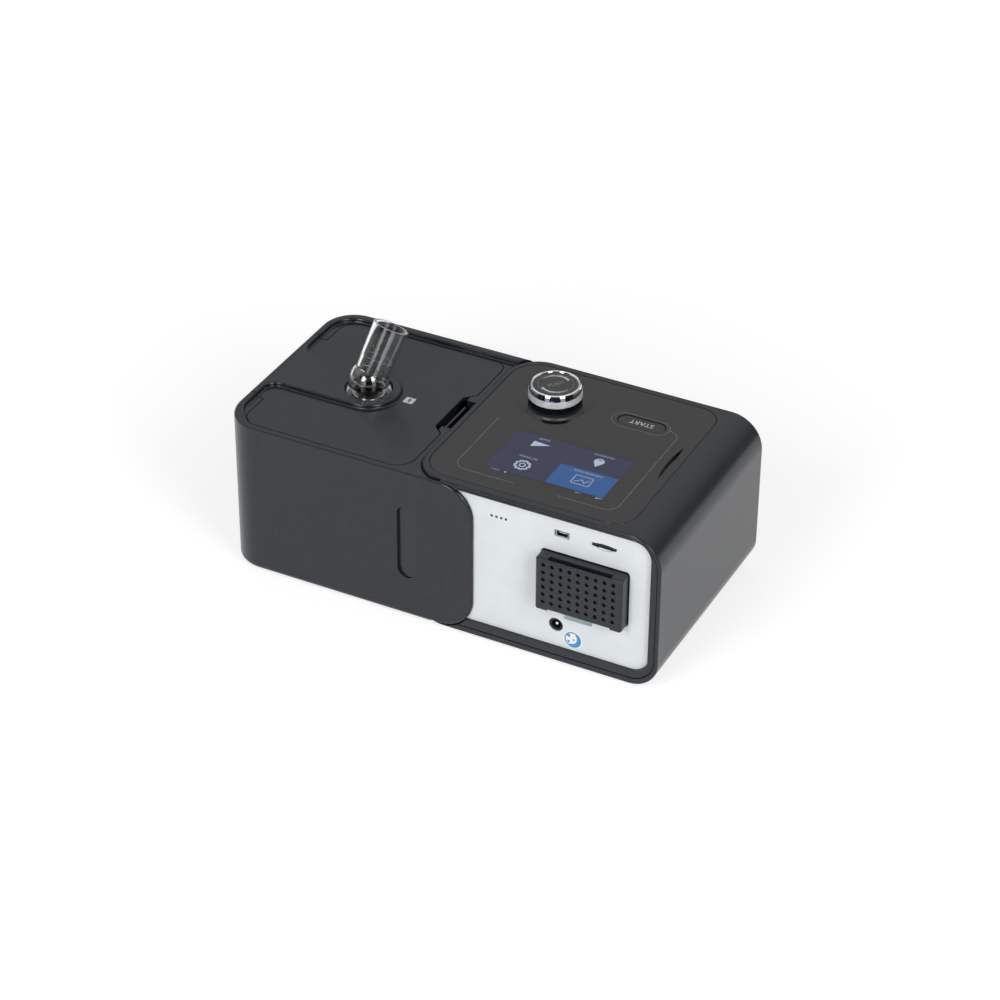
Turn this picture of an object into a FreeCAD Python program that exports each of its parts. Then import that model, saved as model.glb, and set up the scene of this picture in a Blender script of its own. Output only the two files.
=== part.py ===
"""Bedside CPAP machine: a main unit with blower, controls and filter, and a
humidifier that docks on its left side.

Frame: +Z up, origin on the table under the middle of the machine. The rear
face, with the sockets and the air filter, looks towards -Y. The humidifier
is at -X and the main unit at +X. All sizes are in millimetres.
"""
import FreeCAD, Part
import math
import os
from FreeCAD import Vector

# ---- overall sizes -------------------------------------------------------
machine_left = -145.0
machine_right = 145.0
rear_y = -70.8                 # face of the humidifier and its flap
front_y = 77.0                 # side that faces the sleeper
foot_height = 1.5
field_top = 104.2              # level part of the humidifier's top
rim_top = 107.0                # raised rim and the rise that carries the hose port
main_top = 106.2

# ---- main unit housing ---------------------------------------------------
main_left = -17.3
main_rear_y = -70.2
main_wall = 3.0
main_edge_radius = 1.4         # soft outer edges
main_left_corner = 22.0        # seen from above
belt_top_radius = 21.0         # seen from the rear
belt_bottom_radius = 18.0
trim_inset = 1.9               # seam between the belt and its end panels
trim_depth = 4.6
trim_low_inset = 4.3           # the belt shows a taller lip under the rear bezel
seam = 0.3                     # open seam between neighbouring mouldings

service_left = 12.0            # service opening underneath
service_right = 116.0
service_rear = -46.0
service_front = 52.0
base_cover_top = 5.2

# ---- rear panel ----------------------------------------------------------
panel_face_y = -68.0
panel_thickness = 2.2
panel_right = 138.8
panel_low = 11.2
panel_high = 102.6
panel_corner = 11.0
panel_left = -4.6

# ---- control panel -------------------------------------------------------
control_left = -13.6
control_right = 121.0
control_rear = -65.0
control_front = 72.0
control_thickness = 2.9
display_left = 18.0
display_right = 96.2
display_rear = -46.2
display_front = 1.6
knob_x = 23.3
knob_y = 41.0
knob_top = 116.6
knob_height = 8.9
knob_radius = 16.6
knob_cap_radius = 13.5
dish_radius = 25.0
dish_floor_radius = 17.5
dish_depth = 0.5
start_x = 81.8
start_y = 38.8
start_length = 30.5
start_width = 10.6
slot_x = 115.0                 # alarm slot beside the display
slot_low_y = -11.9
slot_high_y = 26.2

# ---- air filter ----------------------------------------------------------
cover_left = 68.9
cover_right = 124.3
cover_low = 40.6
cover_high = 77.6
cover_front_y = -77.0
cover_wall = 1.6
hole_columns = 9
hole_rows = 6
hole_first_x = 74.2
hole_first_z = 47.4
hole_step_x = 5.58
hole_step_z = 5.16
hole_radius = 1.35

# ---- sockets in the rear panel -------------------------------------------
jack_x = 78.7
jack_z = 26.3
jack_hole_radius = 4.6
usb_x = 81.35
usb_z = 91.3
card_x = 108.35
card_z = 91.2
card_width = 11.0
card_length = 15.0
card_thick = 1.0
card_rear_y = -67.5
vent_first_x = 36.1
vent_step = 3.1
vent_z = 90.3

# ---- blower --------------------------------------------------------------
blower_x = 62.0
blower_y = 18.0
volute_radius = 38.0
blower_low = 20.0
blower_split = 40.0
blower_high = 58.0
impeller_radius = 27.0
blade_count = 11
board_low = 86.8
board_high = 88.4

# ---- humidifier ----------------------------------------------------------
dock_gap = 0.6
humidifier_right = main_left - dock_gap
humidifier_wall = 2.5
humidifier_front = 74.5
humidifier_corner = 22.0
rear_tip_x = -4.0              # its wall runs on round the main unit's corners to these
front_tip_x = -8.5
flap_right = 24.4
flap_low = 3.0
flap_inner_y = -68.4
flap_top_radius = 21.0
flap_bottom_radius = 22.0
near_edge_radius = 1.6
bottom_edge_radius = 3.6
rim_outer_radius = 4.2         # soft shoulder outside the rim
rim_inner_radius = 1.6
rim_foot_radius = 1.0
rim_left_width = 6.0           # rim from the outer face to its foot
rim_front_y = 66.8             # foot of the rim on the front side
rim_run_start = -72.0          # the rim sinks into the level top between these
rim_run_end = -46.0
grip_x = -18.9
grip_low = 29.4
grip_high = 80.6
grip_width = 12.8

# ---- lid -----------------------------------------------------------------
lid_left = -134.0
lid_right = -20.9
lid_rear = -66.6
lid_front = 65.3
lid_low = 101.5
lid_wall = 2.7
lid_gap = 0.3
tongue_rear = -38.5            # the lid reaches the left edge between these
tongue_front = 38.5
hinge_x = -141.0
hinge_z = 102.0
knuckle_radius = 6.2
hinge_pin_radius = 1.2
rise_half = 20.2               # half the width of the rise
rise_corner = 8.0
port_x = -81.5
port_y = -2.0
port_hole_radius = 13.2
port_seat_z = 103.6            # step in the port that the elbow's ring sits on
port_mouth_radius = 14.8
running_gap = 0.08             # radial play of parts that turn in each other

# ---- outlet elbow --------------------------------------------------------
tube_radius = 11.0             # 22 mm breathing-hose cone
tube_bore = 9.4
tube_length = 36.0
tube_step = 15.0               # the bore widens here
ball_radius = 12.7
tube_lean = 27.4
tube_heading = 61.9            # from +X towards +Y, seen from above
elbow_centre_z = 112.3

# ---- latch ---------------------------------------------------------------
latch_x = -23.5
latch_z = 84.0
hole_left = -27.0
hole_rear = -16.0
hole_front = 16.5

# ---- air dock ------------------------------------------------------------
dock_port_y = 40.0
dock_port_z = 70.0


def box(x0, x1, y0, y1, z0, z1):
    return Part.makeBox(x1 - x0, y1 - y0, z1 - z0, Vector(x0, y0, z0))


def cylinder(radius, base, direction, length):
    return Part.makeCylinder(radius, length, Vector(*base), Vector(*direction))


def ring(outer, inner, x, y, z0, z1):
    """A round collar with a vertical axis."""
    body = cylinder(outer, (x, y, z0), (0, 0, 1), z1 - z0)
    return body.cut(cylinder(inner, (x, y, z0 - 1), (0, 0, 1), z1 - z0 + 2))


def rounded_face(corners, place):
    """Face inside straight runs joined by arcs. A corner is (u, v, radius)."""
    count = len(corners)
    edges = []
    ends = []
    for index in range(count):
        before = corners[index - 1]
        here = corners[index]
        after = corners[(index + 1) % count]
        to_before = (before[0] - here[0], before[1] - here[1])
        to_after = (after[0] - here[0], after[1] - here[1])
        length_before = math.hypot(*to_before)
        length_after = math.hypot(*to_after)
        unit_before = (to_before[0] / length_before, to_before[1] / length_before)
        unit_after = (to_after[0] / length_after, to_after[1] / length_after)
        dot = unit_before[0] * unit_after[0] + unit_before[1] * unit_after[1]
        half = math.acos(max(-1.0, min(1.0, dot))) / 2
        radius = here[2]
        if radius <= 0:
            point = place(here[0], here[1])
            ends.append((point, point, None))
            continue
        reach = radius / math.tan(half)
        start = (here[0] + unit_before[0] * reach, here[1] + unit_before[1] * reach)
        stop = (here[0] + unit_after[0] * reach, here[1] + unit_after[1] * reach)
        middle = (unit_before[0] + unit_after[0], unit_before[1] + unit_after[1])
        size = math.hypot(*middle)
        depth = radius / math.sin(half) - radius
        crown = (here[0] + middle[0] / size * depth, here[1] + middle[1] / size * depth)
        ends.append((place(*start), place(*stop), place(*crown)))
    for index in range(count):
        start, stop, crown = ends[index]
        if crown is not None:
            edges.append(Part.Arc(start, crown, stop).toShape())
        following = ends[(index + 1) % count][0]
        if stop.distanceToPoint(following) > 1e-6:
            edges.append(Part.LineSegment(stop, following).toShape())
    return Part.Face(Part.Wire(Part.__sortEdges__(edges)))


def plan_prism(corners, z0, z1):
    """Upright prism over an outline seen from above."""
    face = rounded_face(corners, lambda x, y: Vector(x, y, z0))
    return face.extrude(Vector(0, 0, z1 - z0))


def rear_prism(corners, y0, y1):
    """Prism along Y over an outline seen from the rear."""
    face = rounded_face(corners, lambda x, z: Vector(x, y0, z))
    return face.extrude(Vector(0, y1 - y0, 0))


def rectangle(u0, u1, v0, v1, radius):
    return [(u0, v0, radius), (u1, v0, radius), (u1, v1, radius), (u0, v1, radius)]


def plan_pill(x, y, length, width, z0, z1):
    """Stadium with its long side along X."""
    outline = rectangle(x - length / 2, x + length / 2, y - width / 2, y + width / 2, width / 2 - 0.01)
    return plan_prism(outline, z0, z1)


def revolve(profile, x, y):
    """Turn a closed (radius, height) profile about a vertical axis."""
    points = [Vector(x + radius, y, height) for radius, height in profile]
    points.append(points[0])
    face = Part.Face(Part.makePolygon(points))
    return face.revolve(Vector(x, y, 0), Vector(0, 0, 1), 360)


def round_edges(shape, radius, chosen):
    """Fillet the edges that the test picks."""
    edges = [edge for edge in shape.Edges if chosen(edge)]
    if not edges:
        return shape
    return shape.makeFillet(radius, edges)


def flat_at(axis, value):
    """Test for edges that lie in one plane across an axis."""
    def test(edge):
        low = getattr(edge.BoundBox, axis + "Min")
        high = getattr(edge.BoundBox, axis + "Max")
        return abs(low - value) < 1e-4 and abs(high - value) < 1e-4
    return test


def joined(shapes):
    """Fuse touching solids into one."""
    result = shapes[0]
    if len(shapes) > 1:
        result = result.fuse(shapes[1:])
    return result.removeSplitter()


def group(shapes):
    """Keep separate solids together in one node."""
    return Part.makeCompound(shapes)


# ---- main unit -----------------------------------------------------------
def belt_outline(inset):
    """Top, right side and bottom of the belt, seen from the rear."""
    low = foot_height + inset
    high = main_top - inset
    right = machine_right - inset
    far_left = main_left - 20
    return [(far_left, low, 0), (right, low, belt_bottom_radius - inset),
            (right, high, belt_top_radius - inset), (far_left, high, 0)]


def rear_trim(gap):
    """Seam between the belt and the rear bezel, seen from the rear."""
    inset = trim_inset + gap
    low = foot_height + trim_low_inset + gap
    high = main_top - inset
    right = machine_right - inset
    far_left = main_left - 20
    return [(far_left, low, 0), (right, low, belt_bottom_radius - inset),
            (right, high, belt_top_radius - inset), (far_left, high, 0)]


def main_plan(rear, front, inset):
    """Main unit seen from above: round corners at the humidifier's end."""
    left = main_left + inset
    corner = main_left_corner - inset
    return [(left, rear, corner), (machine_right + 5, rear, 0),
            (machine_right + 5, front, 0), (left, front, corner)]


def main_envelope():
    """Outer form of the main unit with its soft edges."""
    block = rear_prism(belt_outline(0), main_rear_y, front_y)
    block = block.common(plan_prism(main_plan(main_rear_y, front_y, 0), 0, main_top + 5))

    def outer_edge(edge):
        bounds = edge.BoundBox
        flat_rear = abs(bounds.YMax - main_rear_y) < 1e-4
        flat_front = abs(bounds.YMin - front_y) < 1e-4
        flat_top = abs(bounds.ZMin - main_top) < 1e-4
        flat_bottom = abs(bounds.ZMax - foot_height) < 1e-4
        upright = bounds.ZMax - bounds.ZMin > 60 and bounds.XMax < panel_left
        smooth_top = bounds.YMax - bounds.YMin > 100 and bounds.XMin > main_left + 1
        return (flat_rear or flat_front or flat_top or flat_bottom) and not (upright or smooth_top)

    return round_edges(block, main_edge_radius, outer_edge)


def flap_outline(grow):
    """Flap of the humidifier that laps over the main unit's rear."""
    right = flap_right + grow
    top = field_top + grow
    low = flap_low - grow
    left = main_left - 14
    return [(left, low, 0), (right, low, flap_bottom_radius),
            (right, top, flap_top_radius), (left, top, 0)]


def flap_clearance():
    """Space behind and above the flap that the main unit leaves free."""
    behind = rear_prism(flap_outline(0.5), rear_y - 5, panel_face_y)
    above = box(main_left - 14, flap_right - flap_top_radius, rear_y - 5, panel_face_y, 80, main_top + 5)
    return joined([behind, above])


def control_outline(inset):
    """Seam of the control panel; its two left corners are the rounder ones."""
    left = control_left + inset
    right = control_right - inset
    rear = control_rear + inset
    front = control_front - inset
    return [(left, rear, 18 - inset), (right, rear, 14 - inset),
            (right, front, 14 - inset), (left, front, 18 - inset)]


def belt_shell(envelope):
    """Wrap-round housing: top, right side and bottom in one moulding."""
    cavity = rear_prism(belt_outline(main_wall), rear_y - 5, front_y + 5)
    shell = envelope.cut(cavity)
    panel_side = box(panel_left, machine_right + 5, rear_y - 5, front_y + 5, 0, main_top + 5)
    rear_slab = envelope.common(rear_prism(belt_outline(-1), rear_y - 5, main_rear_y + trim_depth))
    shell = joined([shell, rear_slab.common(panel_side)])
    rear_rebate = rear_prism(rear_trim(0), rear_y - 5, main_rear_y + trim_depth)
    shell = shell.cut(rear_rebate.common(panel_side))
    front_rebate = rear_prism(belt_outline(trim_inset), front_y - trim_depth, front_y + 5)
    shell = shell.cut(front_rebate.common(panel_side))
    shelf = plan_prism(control_outline(-0.6), main_top - control_thickness - 1.6, main_top - 2)
    shell = joined([shell, shelf])
    shell = shell.cut(plan_prism(control_outline(3.0), main_top - 8, main_top + 5))
    shell = shell.cut(plan_prism(control_outline(0), main_top - control_thickness, main_top + 5))
    shell = shell.cut(plan_prism(service_outline(0), 0, foot_height + 1.4))
    shell = shell.cut(plan_prism(service_outline(4), 0, foot_height + main_wall + 1))
    for x, y in main_feet_places():
        shell = shell.cut(cylinder(7.2, (x, y, 0), (0, 0, 1), foot_height + 1))
    return shell.cut(flap_clearance())


def service_outline(inset):
    """Service opening in the bottom of the main unit."""
    return rectangle(service_left + inset, service_right - inset, service_rear + inset,
                     service_front - inset, 8 - inset / 2)


def base_cover():
    """Service cover let into the bottom of the belt."""
    plate = plan_prism(service_outline(0.2), foot_height, foot_height + 1.4)
    plug = plan_prism(service_outline(4.2), foot_height + 1.4, base_cover_top)
    plate = joined([plate, plug])
    for x, y in screw_places():
        plate = plate.cut(cylinder(3.2, (x, y, 0), (0, 0, 1), foot_height + 1.4))
        plate = plate.cut(cylinder(1.6, (x, y, 0), (0, 0, 1), 10))
    for index in range(7):
        y = -24 + index * 8
        plate = plate.cut(box(30, 74, y - 1.2, y + 1.2, 0, foot_height + 0.7))
    return plate


def screw_places():
    """Screws near the corners of the service cover."""
    return [(x, y) for x in (service_left + 9, service_right - 9) for y in (service_rear + 9, service_front - 9)]


def cover_screws():
    screws = []
    for x, y in screw_places():
        head = cylinder(2.9, (x, y, foot_height + 0.2), (0, 0, 1), 1.2)
        shank = cylinder(1.5, (x, y, foot_height + 1.4), (0, 0, 1), 7)
        cross = box(x - 1.8, x + 1.8, y - 0.35, y + 0.35, foot_height, foot_height + 0.7)
        other = box(x - 0.35, x + 0.35, y - 1.8, y + 1.8, foot_height, foot_height + 0.7)
        screws.append(joined([head, shank]).cut(cross).cut(other))
    return group(screws)


def main_feet_places():
    return foot_places(main_left + 18, machine_right - 24, rear_y + 15, front_y - 15)


def foot_places(left, right, rear, front):
    return [(x, y) for x in (left, right) for y in (rear, front)]


def rubber_feet(places):
    feet = []
    for x, y in places:
        disc = cylinder(7.0, (x, y, 0), (0, 0, 1), foot_height + 1)
        feet.append(round_edges(disc, 0.8, flat_at("Z", 0)))
    return group(feet)


def rear_window(inset):
    """Outline of the white rear panel."""
    return [(panel_left + inset, panel_low + inset, 0), (panel_right - inset, panel_low + inset, panel_corner),
            (panel_right - inset, panel_high - inset, panel_corner), (panel_left + inset, panel_high - inset, 0)]


def rear_bezel(envelope):
    """Dark frame between the belt and the white panel."""
    frame = rear_prism(rear_trim(seam), main_rear_y, main_rear_y + trim_depth - 0.2)
    frame = round_edges(frame, 0.8, flat_at("Y", main_rear_y))
    frame = frame.cut(rear_prism(rear_window(0), rear_y - 5, rear_y + 20))
    frame = frame.common(box(panel_left, machine_right, rear_y - 5, rear_y + 20, 0, main_top))
    return frame.common(envelope).cut(flap_clearance())


def rear_panel():
    """White panel with the sockets and the filter opening."""
    back_y = panel_face_y + panel_thickness
    panel = rear_prism(rear_window(0.15), panel_face_y, back_y)
    opening = rectangle(cover_left - 0.7, cover_right + 0.7, cover_low - 0.7, cover_high + 0.8, 2.5)
    panel = panel.cut(rear_prism(opening, rear_y, back_y + 5))
    panel = panel.cut(cylinder(jack_hole_radius, (jack_x, rear_y, jack_z), (0, 1, 0), 10))
    usb = rectangle(usb_x - 4.85, usb_x + 4.85, usb_z - 2.4, usb_z + 2.4, 0.6)
    panel = panel.cut(rear_prism(usb, rear_y, back_y + 5))
    slit = rectangle(card_x - 6.4, card_x + 6.4, card_z - 0.9, card_z + 0.9, 0.4)
    panel = panel.cut(rear_prism(slit, rear_y, back_y + 5))
    panel = panel.cut(finger_scallop())
    for index in range(4):
        x = vent_first_x + index * vent_step
        panel = panel.cut(cylinder(0.65, (x, rear_y, vent_z), (0, 1, 0), 10))
    notch_low = cover_low - 8.2
    notch = rear_prism(rectangle(83.8, 102, notch_low, cover_low + 3, 1.2), panel_face_y - 1, panel_face_y + 1.1)
    return panel.cut(notch)


def finger_scallop():
    """Eye-shaped dip round the card slot, deepest at the slot."""
    half = 8.3
    left = Vector(card_x - half, panel_face_y - 1, card_z + 0.6)
    right = Vector(card_x + half, panel_face_y - 1, card_z + 0.6)
    upper = Part.Arc(left, Vector(card_x, panel_face_y - 1, card_z + 1.7), right).toShape()
    lower = Part.Arc(right, Vector(card_x, panel_face_y - 1, card_z - 3.0), left).toShape()
    face = Part.Face(Part.Wire([upper, lower]))
    return face.extrude(Vector(0, 2.3, 0))


def dock_wall():
    """End wall that the humidifier docks against."""
    outer = plan_prism(main_plan(panel_face_y, front_y, 0), foot_height + main_wall + 0.1, main_top - main_wall - 0.1)
    inner = plan_prism(main_plan(panel_face_y + 2.5, front_y - 2.5, 2.5), 0, main_top)
    wall = outer.cut(inner)
    wall = wall.cut(plan_prism(control_outline(-0.8), main_top - control_thickness - 1.8, main_top))
    wall = wall.common(box(main_left - 1, panel_left - 0.1, rear_y - 5, front_y + 5, 0, main_top))
    seat = cylinder(15.4, (main_left - 5, dock_port_y, dock_port_z), (1, 0, 0), 8.5)
    wall = wall.cut(cylinder(13.4, (main_left - 5, dock_port_y, dock_port_z), (1, 0, 0), 20))
    wall = wall.cut(seat.common(box(main_left - 5, main_left + 1, -80, 80, 0, 200)))
    for index in range(3):
        wall = wall.cut(cylinder(1.1, (main_left - 5, contact_y(index), 14), (1, 0, 0), 20))
    return wall


def contact_y(index):
    return -6 + index * 6


def dock_contacts():
    """Sprung pins that feed the heater plate."""
    pins = []
    for index in range(3):
        tip = cylinder(1.0, (main_left - 0.35, contact_y(index), 14), (1, 0, 0), 5)
        barrel = cylinder(1.6, (main_left + 2.6, contact_y(index), 14), (1, 0, 0), 6)
        pins.append(joined([tip, barrel]))
    return group(pins)


def front_panel(envelope):
    """End panel on the sleeper's side."""
    outline = belt_outline(trim_inset + seam)
    plate = envelope.common(rear_prism(outline, front_y - trim_depth + 0.2, front_y + 5))
    plate = plate.common(box(panel_left, machine_right, 0, front_y + 5, 0, main_top))
    pocket = rear_prism(belt_outline(trim_inset + 4), front_y - 10, front_y - 2.4)
    return plate.cut(pocket)


def control_panel():
    """Glossy top panel with a dish round the knob."""
    top = main_top
    low = main_top - control_thickness
    panel = plan_prism(control_outline(0.2), low, top)
    panel = round_edges(panel, 0.5, flat_at("Z", top))
    boss = cylinder(dish_radius + 1, (knob_x, knob_y, low - 1.4), (0, 0, 1), 1.4)
    panel = joined([panel, boss])
    panel = panel.cut(knob_dish())
    panel = panel.cut(cylinder(3.6, (knob_x, knob_y, low - 5), (0, 0, 1), 20))
    panel = panel.cut(box(display_left, display_right, display_rear, display_front, low - 5, top + 5))
    panel = panel.cut(plan_pill(start_x, start_y, start_length + 0.8, start_width + 0.8, low - 5, top + 5))
    panel = panel.cut(alarm_slot(top - 1.8, top + 2, 0))
    posts = [cylinder(2.6, (x, y, board_high), (0, 0, 1), low - board_high + 0.5) for x, y in board_corners()]
    return joined([panel] + posts)


def knob_dish():
    """Shallow round dish: a flat floor that curves up to the panel."""
    floor = main_top - dish_depth
    slope = (dish_radius + dish_floor_radius) / 2
    centre_line = [Vector(knob_x, knob_y, floor), Vector(knob_x + dish_floor_radius, knob_y, floor)]
    curve = Part.Arc(centre_line[1], Vector(knob_x + slope, knob_y, floor + dish_depth * 0.26),
                     Vector(knob_x + dish_radius, knob_y, main_top))
    edges = [Part.LineSegment(centre_line[0], centre_line[1]).toShape(), curve.toShape()]
    upper = Vector(knob_x + dish_radius, knob_y, main_top + 3)
    edges.append(Part.LineSegment(Vector(knob_x + dish_radius, knob_y, main_top), upper).toShape())
    axis_top = Vector(knob_x, knob_y, main_top + 3)
    edges.append(Part.LineSegment(upper, axis_top).toShape())
    edges.append(Part.LineSegment(axis_top, centre_line[0]).toShape())
    face = Part.Face(Part.Wire(edges))
    return face.revolve(Vector(knob_x, knob_y, 0), Vector(0, 0, 1), 360)


def alarm_slot(z0, z1, shrink):
    """Lens-shaped slot: one side bowed out more than the other."""
    low = Vector(slot_x, slot_low_y + shrink * 2, z0)
    high = Vector(slot_x, slot_high_y - shrink * 2, z0)
    middle = (slot_low_y + slot_high_y) / 2
    left = Part.Arc(low, Vector(slot_x - 2.1 + shrink, middle, z0), high).toShape()
    right = Part.Arc(high, Vector(slot_x + 1.0 - shrink, middle, z0), low).toShape()
    return Part.Face(Part.Wire([left, right])).extrude(Vector(0, 0, z1 - z0))


def board_corners():
    return [(x, y) for x in (1, 92) for y in (-56, 64)]


def display_window():
    return box(display_left, display_right, display_rear, display_front, main_top - 1.6, main_top)


def lcd_module():
    """Display glass in its metal frame, under the window."""
    glass = box(display_left - 2, display_right + 2, display_rear - 2, display_front + 2, 99.4, 102.9)
    frame = box(display_left - 3.2, display_right + 3.2, display_rear - 3, display_front + 3, 98.2, 101.4)
    pads = [box(x, x + 6, y, y + 6, 94.5, 98.2) for x in (display_left, display_right - 6)
            for y in (display_rear, display_front - 6)]
    return joined([frame, glass] + pads)


def main_board():
    board = plan_prism(rectangle(-6, 122, -62, 70, 3), board_low, board_high)
    for x, y in board_corners():
        board = board.cut(cylinder(1.3, (x, y, 80), (0, 0, 1), 20))
    chips = [box(70, 84, 10, 24, board_high, board_high + 1.4), box(96, 106, 40, 50, board_high, board_high + 1.6),
             box(40, 56, 6, 14, board_high, board_high + 1.2)]
    return joined([board] + chips)


def board_screws():
    screws = []
    for x, y in board_corners():
        head = cylinder(2.3, (x, y, board_low - 1.6), (0, 0, 1), 1.6)
        shank = cylinder(1.2, (x, y, board_low), (0, 0, 1), board_high - board_low)
        screws.append(joined([head, shank]))
    return group(screws)


def knob_skirt():
    """Satin lower body of the knob with the hub that grips the shaft."""
    low = knob_top - knob_height
    skirt = revolve([(3.05, low), (knob_radius - 0.9, low), (knob_radius, low + 0.9),
                     (knob_radius - 0.25, low + 5.0), (knob_radius - 1.6, low + 5.0),
                     (knob_radius - 2.2, low + 1.8), (6.0, low + 1.8), (6.0, low + 5.6), (3.05, low + 5.6)],
                    knob_x, knob_y)
    return skirt


def knob_band():
    """Chrome band with the bright top ring."""
    low = knob_top - knob_height + 5.0
    return revolve([(knob_cap_radius, low), (knob_radius - 0.4, low), (knob_radius - 0.9, knob_top - 1.3),
                    (knob_radius - 1.4, knob_top - 0.4), (knob_radius - 2.1, knob_top),
                    (knob_cap_radius + 0.4, knob_top - 0.2), (knob_cap_radius, knob_top - 0.7)], knob_x, knob_y)


def knob_cap():
    """Black touch disc with a fine turned groove."""
    top = knob_top - 0.6
    low = knob_top - knob_height + 5.8
    return revolve([(0, low), (knob_cap_radius, low), (knob_cap_radius, top), (10.5, top), (10.3, top - 0.25),
                    (10.0, top - 0.25), (9.8, top), (0, top)], knob_x, knob_y)


def encoder_shaft():
    base = cylinder(3.0, (knob_x, knob_y, 92.0), (0, 0, 1), knob_top - knob_height + 5.4 - 92.0)
    detent = cylinder(5.0, (knob_x, knob_y, 92.6), (0, 0, 1), 1.4)
    return joined([base, detent])


def encoder_plunger():
    """Sprung button under the shaft: it goes down but doesn't turn."""
    stem = cylinder(1.6, (knob_x, knob_y, 90.4), (0, 0, 1), 1.5)
    guide = box(knob_x - 2.4, knob_x + 2.4, knob_y - 0.9, knob_y + 0.9, 91.1, 91.9)
    return joined([stem, guide])


def encoder_body():
    """Rotary encoder on the main board."""
    case = box(knob_x - 6.2, knob_x + 6.2, knob_y - 6.2, knob_y + 6.2, board_high, 95.6)
    bush = cylinder(4.4, (knob_x, knob_y, 95.6), (0, 0, 1), 4.4)
    body = joined([case, bush])
    body = body.cut(cylinder(3.05, (knob_x, knob_y, 94), (0, 0, 1), 10))
    return body.cut(cylinder(5.4, (knob_x, knob_y, 89.4), (0, 0, 1), 5.1))


def start_button():
    """START key: a pill cap on a stem."""
    cap = plan_pill(start_x, start_y, start_length, start_width, main_top - 2.4, main_top - 0.2)
    cap = round_edges(cap, 0.5, flat_at("Z", main_top - 0.2))
    flange = plan_pill(start_x, start_y, start_length + 4, start_width + 4, main_top - 4.6, main_top - 3.7)
    neck = plan_pill(start_x, start_y, start_length - 0.6, start_width - 0.6, main_top - 4.0, main_top - 2.3)
    stem = cylinder(2.4, (start_x, start_y, 93.4), (0, 0, 1), main_top - 4.4 - 93.4)
    return joined([cap, neck, flange, stem])


def start_switch():
    case = box(start_x - 3, start_x + 3, start_y - 3, start_y + 3, board_high, 91.4)
    plunger = cylinder(1.6, (start_x, start_y, 91.4), (0, 0, 1), 0.9)
    return joined([case, plunger])


def usb_socket():
    outer = box(usb_x - 3.95, usb_x + 3.95, -67.4, -58.5, usb_z - 2.1, usb_z + 2.0)
    inner = box(usb_x - 3.5, usb_x + 3.5, -68, -60.0, usb_z - 1.65, usb_z + 1.6)
    tongue = box(usb_x - 2.4, usb_x + 2.4, -66.4, -59.8, usb_z - 0.2, usb_z + 0.6)
    foot = box(usb_x - 3.95, usb_x + 3.95, -62, -58.5, board_high, usb_z - 2.0)
    return joined([outer.cut(inner), tongue, foot])


def card_socket():
    """Push-fit socket for the memory card."""
    case = box(card_x - 7.2, card_x + 7.2, -65.6, -48.5, board_high, card_z + 1.6)
    slot = box(card_x - card_width / 2 - 0.25, card_x + card_width / 2 + 0.25, -70, -50.2,
               card_z - card_thick / 2 - 0.2, card_z + card_thick / 2 + 0.2)
    return case.cut(slot)


def memory_card():
    """Small memory card with its stepped side and finger lip."""
    left = card_x - card_width / 2
    right = card_x + card_width / 2
    back = card_rear_y + card_length
    low = card_z - card_thick / 2
    high = card_z + card_thick / 2
    outline = [(left, back, 0.6), (left, card_rear_y, 0.8), (right, card_rear_y, 0.8),
               (right, back - 6.5, 0.3), (right - 1.3, back - 5.2, 0.3), (right - 1.3, back, 0.6)]
    card = plan_prism(outline, low, high)
    lip = box(left + 1.2, right - 1.2, card_rear_y, card_rear_y + 0.7, high, high + 0.15)
    return joined([card, lip])


def dc_jack():
    """Power inlet with a 6.3 mm barrel opening."""
    case = box(jack_x - 5.2, jack_x + 5.2, -65.6, -52, 20.0, 32.4)
    nose = cylinder(jack_hole_radius - 0.2, (jack_x, -67.4, jack_z), (0, 1, 0), 3)
    jack = joined([case, nose])
    return jack.cut(cylinder(3.15, (jack_x, -70, jack_z), (0, 1, 0), 13))


def dc_pin():
    pin = cylinder(1.05, (jack_x, -66.6, jack_z), (0, 1, 0), 9.6)
    return round_edges(pin, 0.4, flat_at("Y", -66.6))


def power_board():
    board = box(56, 118, -63, -40.5, 18.4, 20.0)
    capacitor = cylinder(4.0, (64, -46, 20.0), (0, 0, 1), 11)
    inductor = box(90, 100, -56, -46, 20.0, 27)
    legs = [box(x, x + 4, y, y + 3.6, foot_height + main_wall, 18.4) for x in (56, 114) for y in (-63, -51.9)]
    return joined([board, capacitor, inductor] + legs)


# ---- filter --------------------------------------------------------------
def filter_cover():
    """Perforated snap-on cover with a finger trough in its top."""
    body = box(cover_left, cover_right, cover_front_y, panel_face_y + 1.4, cover_low, cover_high)

    def front_or_long(edge):
        bounds = edge.BoundBox
        at_front = abs(bounds.YMax - cover_front_y) < 1e-4
        runs_back = bounds.YMax - bounds.YMin > 5
        return at_front or runs_back

    body = round_edges(body, 1.7, front_or_long)
    hollow = box(cover_left + cover_wall, cover_right - cover_wall, cover_front_y + 1.8, panel_face_y + 5,
                 cover_low + cover_wall + 2, cover_high - 4.6)
    body = body.cut(hollow)
    step = rear_prism(rectangle(76.3, 117.2, cover_low - 3, cover_low + 2.0, 0.5), cover_front_y - 1, -73.4)
    body = body.cut(step)
    trough = rear_prism(rectangle(76.6, 116.9, cover_high - 2.6, cover_high + 4, 0.8), -76.4, -73.2)
    body = body.cut(trough)
    holes = []
    for column in range(hole_columns):
        x = hole_first_x + column * hole_step_x
        for row in range(hole_rows):
            z = hole_first_z + row * hole_step_z
            holes.append(cylinder(hole_radius, (x, cover_front_y - 1, z), (0, 1, 0), 4))
    return body.cut(Part.makeCompound(holes))


def filter_pad():
    """Fine filter felt carried inside the cover."""
    pad = box(cover_left + 2.4, cover_right - 2.4, -74.9, -69.4, cover_low + 4.4, cover_high - 5.4)
    return pad


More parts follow.
